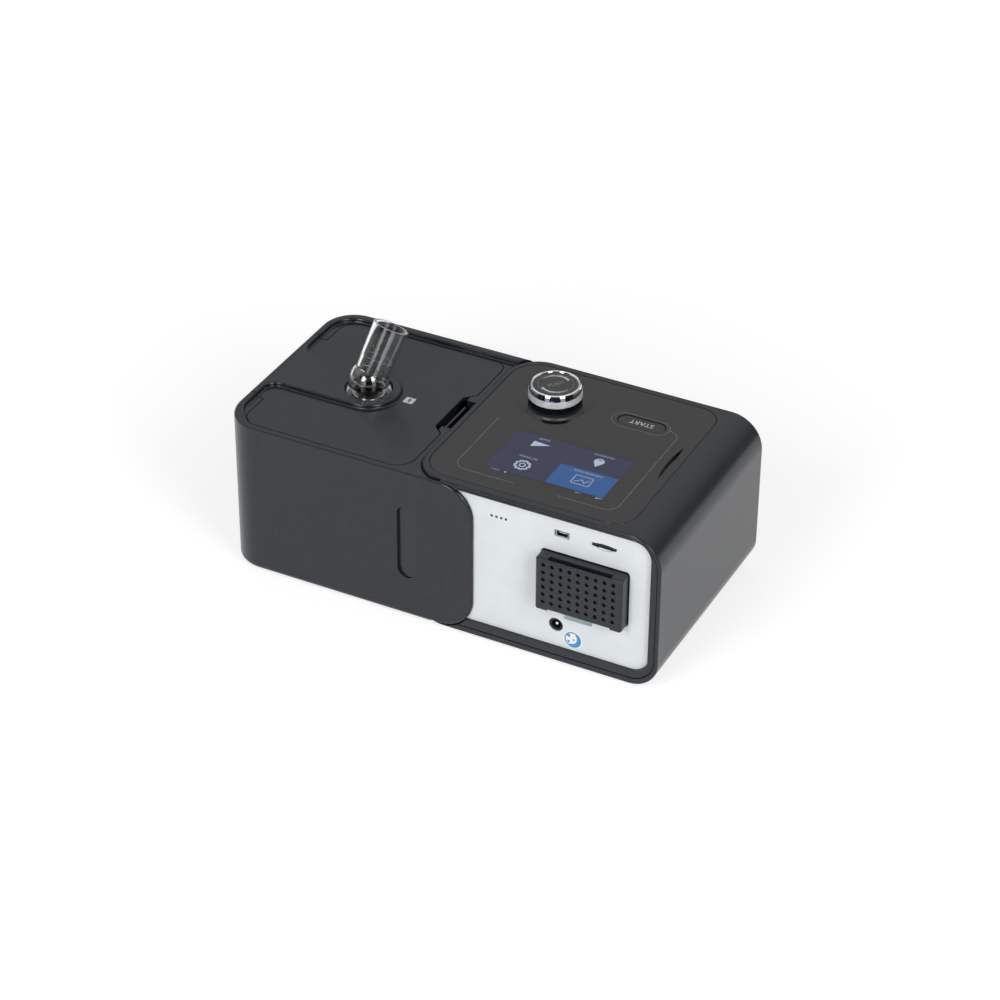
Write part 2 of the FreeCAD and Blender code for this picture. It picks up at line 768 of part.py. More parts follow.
def inlet_duct():
    """Air path from the filter over the blower's eye."""
    rear_box = box(66.4, 126.6, panel_face_y + 2.5, -38, 38.4, 80.4)
    over_blower = box(34, 100, -40, 48, blower_high + 3, 80.4)
    duct = joined([rear_box, over_blower])
    rear_hollow = box(68.2, 124.8, -70, -39.8, 40.2, 78.6)
    over_hollow = box(35.8, 98.2, -42, 46.2, blower_high + 4.8, 78.6)
    duct = duct.cut(joined([rear_hollow, over_hollow]))
    return duct.cut(cylinder(13.5, (blower_x, blower_y, blower_high), (0, 0, 1), 8))


def muffler_foam():
    """Sound-absorbing foam with a zigzag air path."""
    block = box(36.4, 97.6, -36, 45.6, 66.0, 78.6)
    block = block.cut(cylinder(14.5, (blower_x, blower_y, 60), (0, 0, 1), 14))
    for index in range(3):
        y = -26 + index * 12
        block = block.cut(box(44 + 10 * (index % 2), 90 - 10 * ((index + 1) % 2), y, y + 5, 60, 74))
    return block


# ---- blower --------------------------------------------------------------
def volute_outline(offset):
    """Scroll that widens towards the outlet."""
    points = []
    steps = 9
    for index in range(steps):
        angle = math.radians(100 - 40 * index)
        radius = volute_radius - 6 + 0.75 * index - offset
        points.append(Vector(blower_x + radius * math.cos(angle), blower_y + radius * math.sin(angle), 0))
    return points


def volute_block(offset, z0, z1):
    points = [Vector(point.x, point.y, z0) for point in volute_outline(offset)]
    curve = Part.BSplineCurve()
    curve.interpolate(points)
    closing = Part.LineSegment(points[-1], points[0]).toShape()
    face = Part.Face(Part.Wire([curve.toShape(), closing]))
    return face.extrude(Vector(0, 0, z1 - z0))


def outlet_spout(radius, length):
    return cylinder(radius, (blower_x + 4, dock_port_y, blower_split), (-1, 0, 0), length)


def blower_lower():
    """Lower half of the volute, with the motor seat and feet."""
    body = volute_block(0, blower_low, blower_split)
    spout = outlet_spout(11, 52).common(box(-50, 200, -80, 80, 0, blower_split))
    feet = [cylinder(6, (x, y, blower_low), (0, 0, 1), 4) for x, y in mount_places()]
    body = joined([body, spout] + feet)
    body = body.cut(volute_block(2.2, blower_split - 9.5, blower_split + 1))
    body = body.cut(outlet_spout(9, 60).common(box(-50, 200, -80, 80, 0, blower_split + 1)))
    return body.cut(cylinder(17.2, (blower_x, blower_y, blower_low + 2), (0, 0, 1), 30))


def blower_upper():
    """Upper half of the volute with the inlet eye."""
    body = volute_block(0, blower_split, blower_high)
    spout = outlet_spout(11, 52).common(box(-50, 200, -80, 80, blower_split, 200))
    body = joined([body, spout])
    body = body.cut(volute_block(2.2, blower_split - 1, blower_high - 2.4))
    body = body.cut(outlet_spout(9, 60).common(box(-50, 200, -80, 80, blower_split - 1, 200)))
    body = joined([body, ring(14.4, 12.0, blower_x, blower_y, blower_high - 0.2, blower_high + 2.6)])
    return body.cut(cylinder(12.0, (blower_x, blower_y, blower_high - 5), (0, 0, 1), 12))


def mount_places():
    return [(blower_x + 34 * math.cos(math.radians(angle)), blower_y + 34 * math.sin(math.radians(angle)))
            for angle in (20, 160, 270)]


def blower_mounts():
    """Soft rubber posts that keep the blower's hum off the housing."""
    posts = []
    for x, y in mount_places():
        profile = [(0, base_cover_top), (6.5, base_cover_top), (6.5, 8.0), (4.2, 10.5), (4.2, 14.5),
                   (6.0, 17.0), (6.0, blower_low), (0, blower_low)]
        posts.append(revolve(profile, x, y))
    return group(posts)


def impeller():
    """Centrifugal wheel with backward-curved blades."""
    floor = blower_split - 6.0
    disc = revolve([(2.0, floor), (impeller_radius, floor), (impeller_radius, floor + 1.2), (9, floor + 1.6),
                    (5.5, floor + 9.5), (2.0, floor + 9.5)], blower_x, blower_y)
    blades = []
    for index in range(blade_count):
        turn = 360.0 * index / blade_count
        blade = blade_solid(floor + 1.0, floor + 9.0)
        blade.rotate(Vector(blower_x, blower_y, 0), Vector(0, 0, 1), turn)
        blades.append(blade)
    return joined([disc] + blades)


def blade_solid(z0, z1):
    def at(radius, angle):
        rad = math.radians(angle)
        return Vector(blower_x + radius * math.cos(rad), blower_y + radius * math.sin(rad), z0)
    inner = Part.Arc(at(8, 0), at(17, -16), at(impeller_radius - 0.4, -44)).toShape()
    outer = Part.Arc(at(impeller_radius - 0.4, -41), at(17, -11), at(8, 9)).toShape()
    tip = Part.LineSegment(at(impeller_radius - 0.4, -44), at(impeller_radius - 0.4, -41)).toShape()
    root = Part.LineSegment(at(8, 9), at(8, 0)).toShape()
    return Part.Face(Part.Wire([inner, tip, outer, root])).extrude(Vector(0, 0, z1 - z0))


def motor_rotor():
    """Motor shaft with its magnet ring."""
    shaft = cylinder(2.0, (blower_x, blower_y, blower_low + 2.2), (0, 0, 1), 23.0)
    return joined([shaft, ring(8.0, 1.5, blower_x, blower_y, blower_low + 5.4, blower_low + 10.4)])


def motor_stator():
    """Wound stator ring with the plate that holds the upper bearing."""
    low = blower_low + 5.0
    body = ring(17.0, 8.6, blower_x, blower_y, low, low + 6.0)
    for index in range(6):
        angle = math.radians(60 * index)
        x = blower_x + 12.4 * math.cos(angle)
        y = blower_y + 12.4 * math.sin(angle)
        body = body.cut(cylinder(2.0, (x, y, blower_low), (0, 0, 1), 20))
    plate = ring(17.0, 6.0, blower_x, blower_y, low + 6.0, low + 7.0)
    seat = ring(7.6, 6.0, blower_x, blower_y, low + 6.0, low + 8.4)
    return joined([body, plate, seat])


def motor_bearings():
    low = ring(6.0, 2.05, blower_x, blower_y, blower_low + 2.0, blower_low + 4.6)
    high = ring(6.0, 2.05, blower_x, blower_y, blower_low + 11.0, blower_low + 13.2)
    return group([low, high])


def outlet_duct():
    """Riser from the blower to the dock port, where the flow is measured."""
    left = main_left + 2.6
    rear = dock_port_y - 14.5
    front = dock_port_y + 14.5
    low = blower_split - 14
    high = dock_port_z + 13
    riser = plan_prism(rectangle(left, 13.8, rear, front, 4), low, high)
    hollow = plan_prism(rectangle(left + 1.8, 12.0, rear + 1.8, front - 1.8, 3), low + 1.8, high - 1.8)
    duct = riser.cut(hollow)
    duct = duct.cut(cylinder(11.2, (8, dock_port_y, blower_split), (1, 0, 0), 10))
    return duct.cut(cylinder(10.0, (left - 2, dock_port_y, dock_port_z), (1, 0, 0), 6))


def dock_seal():
    """Soft lip round the air port."""
    axis = (1, 0, 0)
    outer = cylinder(15.2, (main_left + 0.1, dock_port_y, dock_port_z), axis, 0.9)
    neck = cylinder(13.2, (main_left + 1.0, dock_port_y, dock_port_z), axis, 1.5)
    seal = joined([outer, neck])
    return seal.cut(cylinder(12.4, (main_left - 2, dock_port_y, dock_port_z), axis, 10))


# ---- humidifier ----------------------------------------------------------
def shell_plan(inset, rear_tip, front_tip):
    """Humidifier from above: round corners at the left, open towards the main unit."""
    corner = humidifier_corner - inset
    left = machine_left + inset
    rear = rear_y + inset
    front = humidifier_front - inset
    return [(left, rear, corner), (rear_tip, rear, 0), (front_tip, front, 0), (left, front, corner)]


def outer_plan():
    return shell_plan(0, rear_tip_x, front_tip_x)


def outer_edge_at(height):
    """Test for level edges that don't face the main unit."""
    def test(edge):
        return flat_at("Z", height)(edge) and edge.BoundBox.XMin < humidifier_right
    return test


def humidifier_form():
    """Solid outer form: level top, raised rim, and the rise round the port."""
    base = plan_prism(outer_plan(), foot_height, field_top)
    base = round_edges(base, bottom_edge_radius, outer_edge_at(foot_height))
    base = round_edges(base, near_edge_radius, outer_edge_at(field_top))
    raised = plan_prism(outer_plan(), field_top - 4, rim_top)
    raised = round_edges(raised, rim_outer_radius, outer_edge_at(rim_top))
    raised = raised.cut(level_pocket())
    raised = round_edges(raised, rim_inner_radius, pocket_edge)
    form = joined([base, raised.cut(rim_run_out())])
    main_end = main_plan(main_rear_y - dock_gap, front_y + dock_gap, -dock_gap)
    return form.cut(plan_prism(main_end, 0, rim_top + 5))


def level_pocket():
    """Space over the level part of the top, round the rise for the port."""
    left = machine_left + rim_left_width
    near_wall = port_y - rise_half
    far_wall = port_y + rise_half
    round_end = port_x + rise_half
    rear = rear_y + rim_left_width
    corner = humidifier_corner - rim_left_width
    outline = [(left, rear, corner), (30, rear, 0), (30, rim_front_y, 0), (left, rim_front_y, corner),
               (left, far_wall, rise_corner), (round_end, far_wall, rise_half - 0.01),
               (round_end, near_wall, rise_half - 0.01), (left, near_wall, rise_corner)]
    pocket = plan_prism(outline, field_top, rim_top + 3)
    return round_edges(pocket, rim_foot_radius, flat_at("Z", field_top))


def pocket_edge(edge):
    """Upper edges of the rim and the rise on the inner side."""
    bounds = edge.BoundBox
    inside = bounds.XMin > machine_left + rim_left_width - 0.1 and bounds.YMax < rim_front_y + 0.1
    inside = inside and bounds.YMin > rear_y + rim_left_width - 0.1 and bounds.XMin < humidifier_right
    return flat_at("Z", rim_top)(edge) and inside


def rim_run_out():
    """Space over the corner where the rim sinks into the level top, an S in side view."""
    low = field_top - 0.6
    run = (rim_run_end - rim_run_start) / 2
    rise = (rim_top - low) / 2
    radius = (run * run + rise * rise) / (2 * rise)
    half_turn = math.asin(run / radius) / 2
    aside = radius * math.sin(half_turn)
    up = radius * (1 - math.cos(half_turn))
    x = machine_left - 5
    start = Vector(x, rim_run_start, low)
    middle = Vector(x, rim_run_start + run, low + rise)
    end = Vector(x, rim_run_end, rim_top)
    lower = Part.Arc(start, Vector(x, rim_run_start + aside, low + up), middle).toShape()
    upper = Part.Arc(middle, Vector(x, rim_run_end - aside, rim_top - up), end).toShape()
    over_end = Vector(x, rim_run_end, rim_top + 5)
    over_rear = Vector(x, rim_run_start - 8, rim_top + 5)
    rear = Vector(x, rim_run_start - 8, low)
    sides = [Part.LineSegment(a, b).toShape() for a, b in
             ((end, over_end), (over_end, over_rear), (over_rear, rear), (rear, start))]
    face = Part.Face(Part.Wire([lower, upper] + sides))
    return face.extrude(Vector(-2 * x, 0, 0))


def lid_plan(inset):
    """Lid outline, with the notch round the finger hole and the tongue to the left edge."""
    left = lid_left + inset
    right = lid_right - inset
    rear = lid_rear + inset
    front = lid_front - inset
    notch = hole_left - 0.4 - inset
    outside = machine_left - 2
    return [(left, rear, 11 - inset), (right, rear, 12 - inset),
            (right, hole_rear - 7.5 - inset, 3.0), (notch, hole_rear - 1.5 - inset, 2.2),
            (notch, hole_front + 1.5 + inset, 2.2), (right, hole_front + 7.5 + inset, 3.0),
            (right, front, 9 - inset), (left, front, 13 - inset),
            (left, tongue_front - inset, 1.0), (outside, tongue_front - inset, 0),
            (outside, tongue_rear + inset, 0), (left, tongue_rear + inset, 1.0)]


def humidifier_shell(form):
    """Outer shell with the rim, the hinge notch, the finger hole and the flap."""
    body = joined([form, flap()])
    inner_right = humidifier_right - humidifier_wall
    hollow = shell_plan(humidifier_wall, inner_right, inner_right)
    body = body.cut(plan_prism(hollow, foot_height + humidifier_wall, 98.2))
    body = body.cut(plan_prism(lid_plan(-lid_gap), lid_low - 0.1, rim_top + 5))
    opening = [(lid_left + 3, lid_rear + 3, 11), (lid_right - 3, lid_rear + 3, 11),
               (lid_right - 3, lid_front - 3, 9), (lid_left + 3, lid_front - 3, 11)]
    body = body.cut(plan_prism(opening, 90, rim_top + 5))
    body = body.cut(box(hole_left - 1, humidifier_right + 1, hole_rear, hole_front, 90, rim_top + 5))
    body = body.cut(hinge_notch())
    body = body.cut(grip_recess())
    body = body.cut(cylinder(12.2, (humidifier_right - 6, dock_port_y, dock_port_z), (1, 0, 0), 12))
    for index in range(3):
        body = body.cut(cylinder(1.7, (humidifier_right - 6, contact_y(index), 14), (1, 0, 0), 12))
    service = rectangle(-125, -40, -45, 51, 6)
    body = body.cut(plan_prism(service, 0, foot_height + 5))
    for side in (-1, 1):
        y0, y1 = hinge_pin_span(side)
        body = body.cut(cylinder(hinge_pin_radius, (hinge_x, y0, hinge_z), (0, 1, 0), y1 - y0))
    for x, y in humidifier_feet():
        body = body.cut(cylinder(7.2, (x, y, 0), (0, 0, 1), foot_height + 1))
    ears = [box(latch_x - 2.4, humidifier_right - 2, y, y + 2.4, latch_z - 4, latch_z + 3) for y in (-17.6, 15.4)]
    body = joined([body] + ears)
    return body.cut(cylinder(1.0, (latch_x, -19, latch_z), (0, 1, 0), 40))


def humidifier_feet():
    return foot_places(machine_left + 20, humidifier_right - 14, rear_y + 14, front_y - 14)


def flap():
    """Plate that carries the rear face on over the main unit."""
    plate = rear_prism(flap_outline(0), rear_y, flap_inner_y)

    def face_edge(edge):
        bounds = edge.BoundBox
        at_face = abs(bounds.YMax - rear_y) < 1e-4
        return at_face and bounds.XMax > main_left - 13

    return round_edges(plate, near_edge_radius, face_edge)


def grip_recess():
    """Thumb recess: deep on the left, running out flush on the right."""
    left = grip_x - grip_width / 2
    right = grip_x + grip_width / 2
    outline = rectangle(left, right, grip_low, grip_high, grip_width / 2 - 0.01)
    pill = rear_prism(outline, rear_y - 1, rear_y + 2.0)
    wedge = plan_prism([(left - 1, rear_y - 1, 0), (right, rear_y - 1, 0), (right, rear_y + 0.15, 0),
                        (left - 1, rear_y + 1.9, 0)], grip_low - 1, grip_high + 1)
    return pill.common(wedge)


def hinge_notch():
    """Room in the left rim for the lid's hinge knuckle."""
    y0 = tongue_rear - lid_gap
    y1 = tongue_front + lid_gap
    slot = box(machine_left - 1, lid_left + 3.5, y0, y1, 95.9, rim_top + 5)
    swing = cylinder(knuckle_radius + 0.5, (hinge_x, y0, hinge_z), (0, 1, 0), y1 - y0)
    return joined([slot, swing])


def hinge_pin_span(side):
    if side < 0:
        return tongue_rear - 7.0, tongue_rear + 11.0
    return tongue_front - 11.0, tongue_front + 7.0


def hinge_pins():
    pins = []
    for side in (-1, 1):
        y0, y1 = hinge_pin_span(side)
        pins.append(cylinder(hinge_pin_radius, (hinge_x, y0, hinge_z), (0, 1, 0), y1 - y0))
    return group(pins)


def heater_cover():
    """Bottom cover under the heater."""
    plate = plan_prism(rectangle(-124.8, -40.2, -44.8, 50.8, 5.8), foot_height, foot_height + 2.4)
    for index in range(6):
        y = -17 + index * 8
        plate = plate.cut(box(-104, -60, y - 1.2, y + 1.2, 0, foot_height + 0.8))
    return plate


def heater_insulator():
    return plan_prism(rectangle(-128, -36, -46, 54, 8), foot_height + 2.5, 9.0)


def heater_element():
    """Flat foil heater under the plate."""
    foil = plan_prism(rectangle(-122, -42, -40, 48, 6), 9.0, 9.8)
    tail = box(-42.5, -25, -10, 10, 9.0, 9.8)
    return joined([foil, tail])


def heater_plate():
    plate = plan_prism(rectangle(-126, -38, -44, 52, 8), 9.8, 13.0)
    return round_edges(plate, 0.8, flat_at("Z", 13.0))


def heater_contacts():
    """Pads that meet the main unit's sprung pins."""
    pads = []
    for index in range(3):
        pads.append(cylinder(1.6, (humidifier_right - 3.4, contact_y(index), 14), (1, 0, 0), 3.3))
    return group(pads)


def tub_outline(inset):
    return rectangle(-137 + inset, -30 - inset, -62 + inset, 68 - inset, 14 - inset)


def tub_base():
    """Steel floor of the tub that takes heat from the plate."""
    return plan_prism(rectangle(-129, -38, -52, 58, 8), 13.0, 14.0)


def water_tub():
    """Clear tub with a floor opening for the steel base."""
    outer = plan_prism(tub_outline(0), 14.0, 84.0)
    outer = round_edges(outer, 3.0, flat_at("Z", 14.0))
    rim = plan_prism(tub_outline(-1.6), 82.0, 84.0)
    tub = joined([outer, rim])
    collar = cylinder(13.0, (-31, dock_port_y, dock_port_z), (1, 0, 0), 2.6)
    tub = joined([tub, collar])
    tub = tub.cut(plan_prism(tub_outline(2.2), 16.0, 90.0))
    tub = tub.cut(cylinder(10.5, (-40, dock_port_y, dock_port_z), (1, 0, 0), 20))
    return tub.cut(plan_prism(rectangle(-126, -41, -49, 55, 6), 10, 20))


def tub_seal():
    outer = plan_prism(tub_outline(-1.0), 84.0, 85.6)
    return outer.cut(plan_prism(tub_outline(2.0), 80, 90))


def tub_cover():
    """Cover of the tub with the outlet chimney and the inlet elbow."""
    plate = plan_prism(tub_outline(-1.6), 85.6, 88.4)
    plate = round_edges(plate, 1.0, flat_at("Z", 88.4))
    rear = dock_port_y - 17
    front = dock_port_y + 17
    low = dock_port_z - 16
    dome = plan_prism(rectangle(-60, -32.5, rear, front, 7), low, 85.8)
    dome_hollow = plan_prism(rectangle(-58.2, -34.3, rear + 1.8, front - 1.8, 5.2), low - 2, 84.0)
    chimney = cylinder(17.5, (port_x, port_y, 88.2), (0, 0, 1), 5.0)
    cover = joined([plate, dome, chimney]).cut(dome_hollow)
    cover = cover.cut(cylinder(14.8, (port_x, port_y, 80), (0, 0, 1), 20))
    cover = cover.cut(cylinder(10.0, (-40, dock_port_y, dock_port_z), (1, 0, 0), 20))
    return cover


def inlet_spigot():
    """Tube that plugs into the main unit's air port."""
    axis = (1, 0, 0)
    tube = cylinder(12.0, (humidifier_right - 10.3, dock_port_y, dock_port_z), axis, 12.9)
    flange = cylinder(15.0, (humidifier_right - 4.6, dock_port_y, dock_port_z), axis, 2.0)
    spigot = joined([tube, flange])
    return spigot.cut(cylinder(10.0, (humidifier_right - 20, dock_port_y, dock_port_z), axis, 40))


# ---- latch ---------------------------------------------------------------
def latch_lever():
    """Finger lever in the hole beside the lid, with its catch hook."""
    y0 = -13.5
    y1 = 12.8
    half = 0.9
    hub = cylinder(2.2, (latch_x, y0, latch_z), (0, 1, 0), y1 - y0)
    blade = rear_prism([(latch_x - half, latch_z, 0), (latch_x + half, latch_z, 0), (latch_x + half, 101.6, 0.6),
                        (latch_x - half, 101.6, 0.6)], y0, y1)
    hook = rear_prism([(latch_x, 97.3, 0), (latch_x, 99.6, 0), (latch_x - half, 99.2, 0),
                       (latch_x - 1.6, 98.0, 0), (latch_x - 1.6, 97.3, 0)], y0 + 2, y1 - 2)
    tab = rear_prism([(latch_x, 93.0, 0), (latch_x + 2.4, 97.0, 0.3), (latch_x + 2.4, 98.8, 0.3),
                      (latch_x, 95.4, 0)], -6, 6)
    lever = joined([hub, blade, hook, tab])
    return lever.cut(cylinder(1.05, (latch_x, y0 - 1, latch_z), (0, 1, 0), y1 - y0 + 2))


def latch_pin():
    return cylinder(1.0, (latch_x, -18.5, latch_z), (0, 1, 0), 37)


def latch_spring():
    """Torsion spring round the latch pin."""
    helix = Part.makeHelix(0.8, 1.6, 1.8)
    start = Vector(1.8, 0, 0)
    section = Part.Wire([Part.makeCircle(0.3, start, Vector(0, 1, 0))])
    coil = Part.Wire(helix).makePipeShell([section], True, False)
    coil.rotate(Vector(0, 0, 0), Vector(1, 0, 0), -90)
    coil.translate(Vector(latch_x, 13.3, latch_z))
    return coil


# ---- lid -----------------------------------------------------------------
def lid(form):
    """Lid with its part of the rim, the rise for the port and the hinge knuckle."""
    cover = form.common(plan_prism(lid_plan(lid_gap), lid_low, rim_top + 5))
    length = tongue_front - tongue_rear - 2 * lid_gap
    knuckle = form.common(cylinder(knuckle_radius, (hinge_x, tongue_rear + lid_gap, hinge_z), (0, 1, 0), length))
    half = rise_half - lid_wall
    under_rise = rectangle(lid_left + 4, port_x + half, port_y - half, port_y + half, half - 0.01)
    cover = cover.cut(plan_prism(under_rise, lid_low - 1, rim_top - lid_wall))
    collar = cylinder(17.2, (port_x, port_y, 95.4), (0, 0, 1), rim_top - lid_wall + 0.1 - 95.4)
    catch = joined([box(hole_left - 2.1, hole_left - 0.75, -12, 11.5, 95.4, lid_low + 0.2),
                    box(hole_left - 2.1, hole_left + 1.6, -12, 11.5, 95.4, 96.8)])
    solid = joined([cover, knuckle, collar, catch])
    solid = solid.cut(cylinder(port_hole_radius, (port_x, port_y, 90), (0, 0, 1), 20))
    solid = solid.cut(cylinder(port_mouth_radius, (port_x, port_y, port_seat_z), (0, 0, 1), 10))
    for side in (-1, 1):
        y0, y1 = hinge_pin_span(side)
        solid = solid.cut(cylinder(hinge_pin_radius + 0.05, (hinge_x, y0, hinge_z), (0, 1, 0), y1 - y0))
    return solid


def lid_seal():
    """Soft ring that meets the tub's chimney."""
    return ring(17.0, 14.6, port_x, port_y, 93.6, 95.4)


def outlet_elbow():
    """Clear swivelling elbow that takes the breathing hose."""
    lean = math.radians(tube_lean)
    heading = math.radians(tube_heading)
    aim = (math.sin(lean) * math.cos(heading), math.sin(lean) * math.sin(heading), math.cos(lean))
    centre = (port_x, port_y, elbow_centre_z)
    stub = port_hole_radius - running_gap
    seat = port_seat_z + 0.05
    top = rim_top - 1.2
    ring_radius = port_mouth_radius - 0.4
    collar = revolve([(9.6, 94.4), (13.6, 94.4), (13.9, 94.8), (stub, 95.2), (stub, seat), (ring_radius, seat),
                      (ring_radius, top - 0.5), (ring_radius - 0.5, top), (ring_radius - 1.2, top),
                      (ring_radius - 1.8, top - 0.8), (9.6, top - 0.8)], port_x, port_y)
    outer = joined([Part.makeSphere(ball_radius, Vector(*centre)), cylinder(tube_radius, centre, aim, tube_length),
                    collar])
    wide_bore = [centre[axis] + aim[axis] * tube_step for axis in range(3)]
    inner = joined([Part.makeSphere(ball_radius - 1.8, Vector(*centre)),
                    cylinder(tube_bore - 0.5, centre, aim, tube_length + 5),
                    cylinder(tube_bore, wide_bore, aim, tube_length),
                    cylinder(11.2, (port_x, port_y, 90), (0, 0, 1), 12.5),
                    cylinder(9.6, (port_x, port_y, 90), (0, 0, 1), elbow_centre_z - 90)])
    return outer.cut(inner)


def write_parts():
    os.makedirs("parts", exist_ok=True)
    envelope = main_envelope()
    form = humidifier_form()
    shapes = {
        "belt_shell": belt_shell(envelope),
        "base_cover": base_cover(),
        "cover_screws": cover_screws(),
        "main_feet": rubber_feet(main_feet_places()),
        "rear_bezel": rear_bezel(envelope),
        "rear_panel": rear_panel(),
        "dock_wall": dock_wall(),
        "dock_contacts": dock_contacts(),
        "dock_seal": dock_seal(),
        "front_panel": front_panel(envelope),
        "control_panel": control_panel(),
        "display_window": display_window(),
        "lcd_module": lcd_module(),
        "main_board": main_board(),
        "board_screws": board_screws(),
        "encoder_body": encoder_body(),
        "encoder_plunger": encoder_plunger(),
        "encoder_shaft": encoder_shaft(),
        "knob_skirt": knob_skirt(),
        "knob_band": knob_band(),
        "knob_cap": knob_cap(),
        "start_button": start_button(),
        "start_switch": start_switch(),
        "usb_socket": usb_socket(),
        "card_socket": card_socket(),
        "memory_card": memory_card(),
        "dc_jack": dc_jack(),
        "dc_pin": dc_pin(),
        "power_board": power_board(),
        "filter_cover": filter_cover(),
        "filter_pad": filter_pad(),
        "inlet_duct": inlet_duct(),
        "muffler_foam": muffler_foam(),
        "blower_lower": blower_lower(),
        "blower_upper": blower_upper(),
        "blower_mounts": blower_mounts(),
        "impeller": impeller(),
        "motor_rotor": motor_rotor(),
        "motor_stator": motor_stator(),
        "motor_bearings": motor_bearings(),
        "outlet_duct": outlet_duct(),
        "humidifier_shell": humidifier_shell(form),
        "humidifier_feet": rubber_feet(humidifier_feet()),
        "hinge_pins": hinge_pins(),
        "heater_cover": heater_cover(),
        "heater_insulator": heater_insulator(),
        "heater_element": heater_element(),
        "heater_plate": heater_plate(),
        "heater_contacts": heater_contacts(),
        "tub_base": tub_base(),
        "water_tub": water_tub(),
        "tub_seal": tub_seal(),
        "tub_cover": tub_cover(),
        "inlet_spigot": inlet_spigot(),
        "latch_lever": latch_lever(),
        "latch_pin": latch_pin(),
        "latch_spring": latch_spring(),
        "lid": lid(form),
        "lid_seal": lid_seal(),
        "outlet_elbow": outlet_elbow(),
    }
    for name, shape in shapes.items():
        print(name, len(shape.Solids), round(shape.Volume), shape.isValid())
        shape.exportStep("parts/" + name + ".step")


write_parts()
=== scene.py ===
import math
import bmesh
import bpy
from mathutils import Matrix, Vector


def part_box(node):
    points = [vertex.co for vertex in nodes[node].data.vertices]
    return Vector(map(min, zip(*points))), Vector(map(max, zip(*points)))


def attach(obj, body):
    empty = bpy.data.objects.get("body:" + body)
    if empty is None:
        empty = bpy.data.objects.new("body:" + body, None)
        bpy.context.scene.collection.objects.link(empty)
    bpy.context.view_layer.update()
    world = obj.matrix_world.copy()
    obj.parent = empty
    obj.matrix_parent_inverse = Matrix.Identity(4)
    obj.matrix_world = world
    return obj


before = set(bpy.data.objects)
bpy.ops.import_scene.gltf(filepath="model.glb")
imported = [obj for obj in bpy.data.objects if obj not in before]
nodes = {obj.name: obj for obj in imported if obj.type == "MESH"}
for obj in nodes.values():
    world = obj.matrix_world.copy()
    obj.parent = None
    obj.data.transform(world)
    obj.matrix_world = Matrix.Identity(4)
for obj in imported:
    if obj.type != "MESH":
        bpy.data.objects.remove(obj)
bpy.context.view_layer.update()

mm = 0.001
scene = bpy.context.scene


# small tools
texture = {
    "patchDetail": 3.0, "patchRamp": (0.35, 0.65),
    "grainDetail": 4.0,
    "waveUnit": 2 * math.pi / 20,   # a wave texture of scale 1 repeats after this share of a metre
}


def linear(code):  # sRGB hex to linear light
    knee, slope, offset, power = 0.04045, 12.92, 0.055, 2.4
    channels = [int(code[i:i + 2], 16) / 255 for i in (1, 3, 5)]
    curved = [c / slope if c <= knee else ((c + offset) / (1 + offset)) ** power for c in channels]
    return tuple(curved) + (1.0,)


def addNode(tree, kind, values=None, links=None, **settings):
    node = tree.nodes.new(kind)
    for name, value in settings.items():
        setattr(node, name, value)
    for name, value in (values or {}).items():
        node.inputs[name].default_value = value
    for name, source in (links or {}).items():
        tree.links.new(source, node.inputs[name])
    return node


def newMaterial(name, **sockets):
    material = bpy.data.materials.new(name)
    material.use_nodes = True
    tree = material.node_tree
    shader = tree.nodes["Principled BSDF"]
    for socket, value in sockets.items():
        shader.inputs[socket.replace("_", " ")].default_value = value
    place = addNode(tree, "ShaderNodeTexCoord").outputs["Object"]
    return material, tree, shader, place


def mottle(tree, place, socket, sizeMm, low, high):  # soft patches that run between two numbers or two colours
    noise = addNode(tree, "ShaderNodeTexNoise", {"Scale": 1 / (sizeMm * mm), "Detail": texture["patchDetail"]},
                    {"Vector": place})
    ramp = addNode(tree, "ShaderNodeValToRGB", links={"Fac": noise.outputs["Fac"]})
    for stop, position, value in zip(ramp.color_ramp.elements, texture["patchRamp"], (low, high)):
        stop.position = position
        stop.color = value if isinstance(value, tuple) else (value, value, value, 1.0)
    tree.links.new(ramp.outputs["Color"], socket)


def grain(tree, shader, place, look):  # fine relief of a moulded or worked surface
    if "stretch" in look:
        place = addNode(tree, "ShaderNodeMapping", {"Scale": look["stretch"]}, {"Vector": place}).outputs["Vector"]
    noise = addNode(tree, "ShaderNodeTexNoise",
                    {"Scale": 1 / (look["grainMm"] * mm), "Detail": texture["grainDetail"]}, {"Vector": place})
    bump = addNode(tree, "ShaderNodeBump",
                   {"Strength": look.get("strength", 1.0), "Distance": look["reliefMm"] * mm},
                   {"Height": noise.outputs["Fac"]})
    tree.links.new(bump.outputs["Normal"], shader.inputs["Normal"])


def patchyMaterial(name, look, tint, rough, **sockets):  # tint and rough are pairs, and patches run between them
    material, tree, shader, place = newMaterial(name, **sockets)
    mottle(tree, place, shader.inputs["Base Color"], look["tintMm"], linear(tint[0]), linear(tint[1]))
    mottle(tree, place, shader.inputs["Roughness"], look["roughMm"], *rough)
    if "grainMm" in look:
        grain(tree, shader, place, look)
    return material


# materials, with the sizes of their patches, grain and relief in mm
# this grain is a little coarser than the true 0.15 mm of a spark-eroded tool, which would not show
sparkErodedLook = {"ior": 1.46, "tintMm": 9.0, "roughMm": 3.0, "grainMm": 0.45, "reliefMm": 0.004}


def sparkErodedAbs(name, tint, rough):
    # moulded ABS from a spark-eroded tool: a soft sheen that spreads over the flat faces
    return patchyMaterial(name, sparkErodedLook, tint, rough, IOR=sparkErodedLook["ior"])


polishedLook = {"ior": 1.48, "tintMm": 25.0, "roughMm": 18.0, "grainMm": 14.0, "reliefMm": 0.01, "strength": 0.5,
                "roughSpread": (0.8, 1.3)}


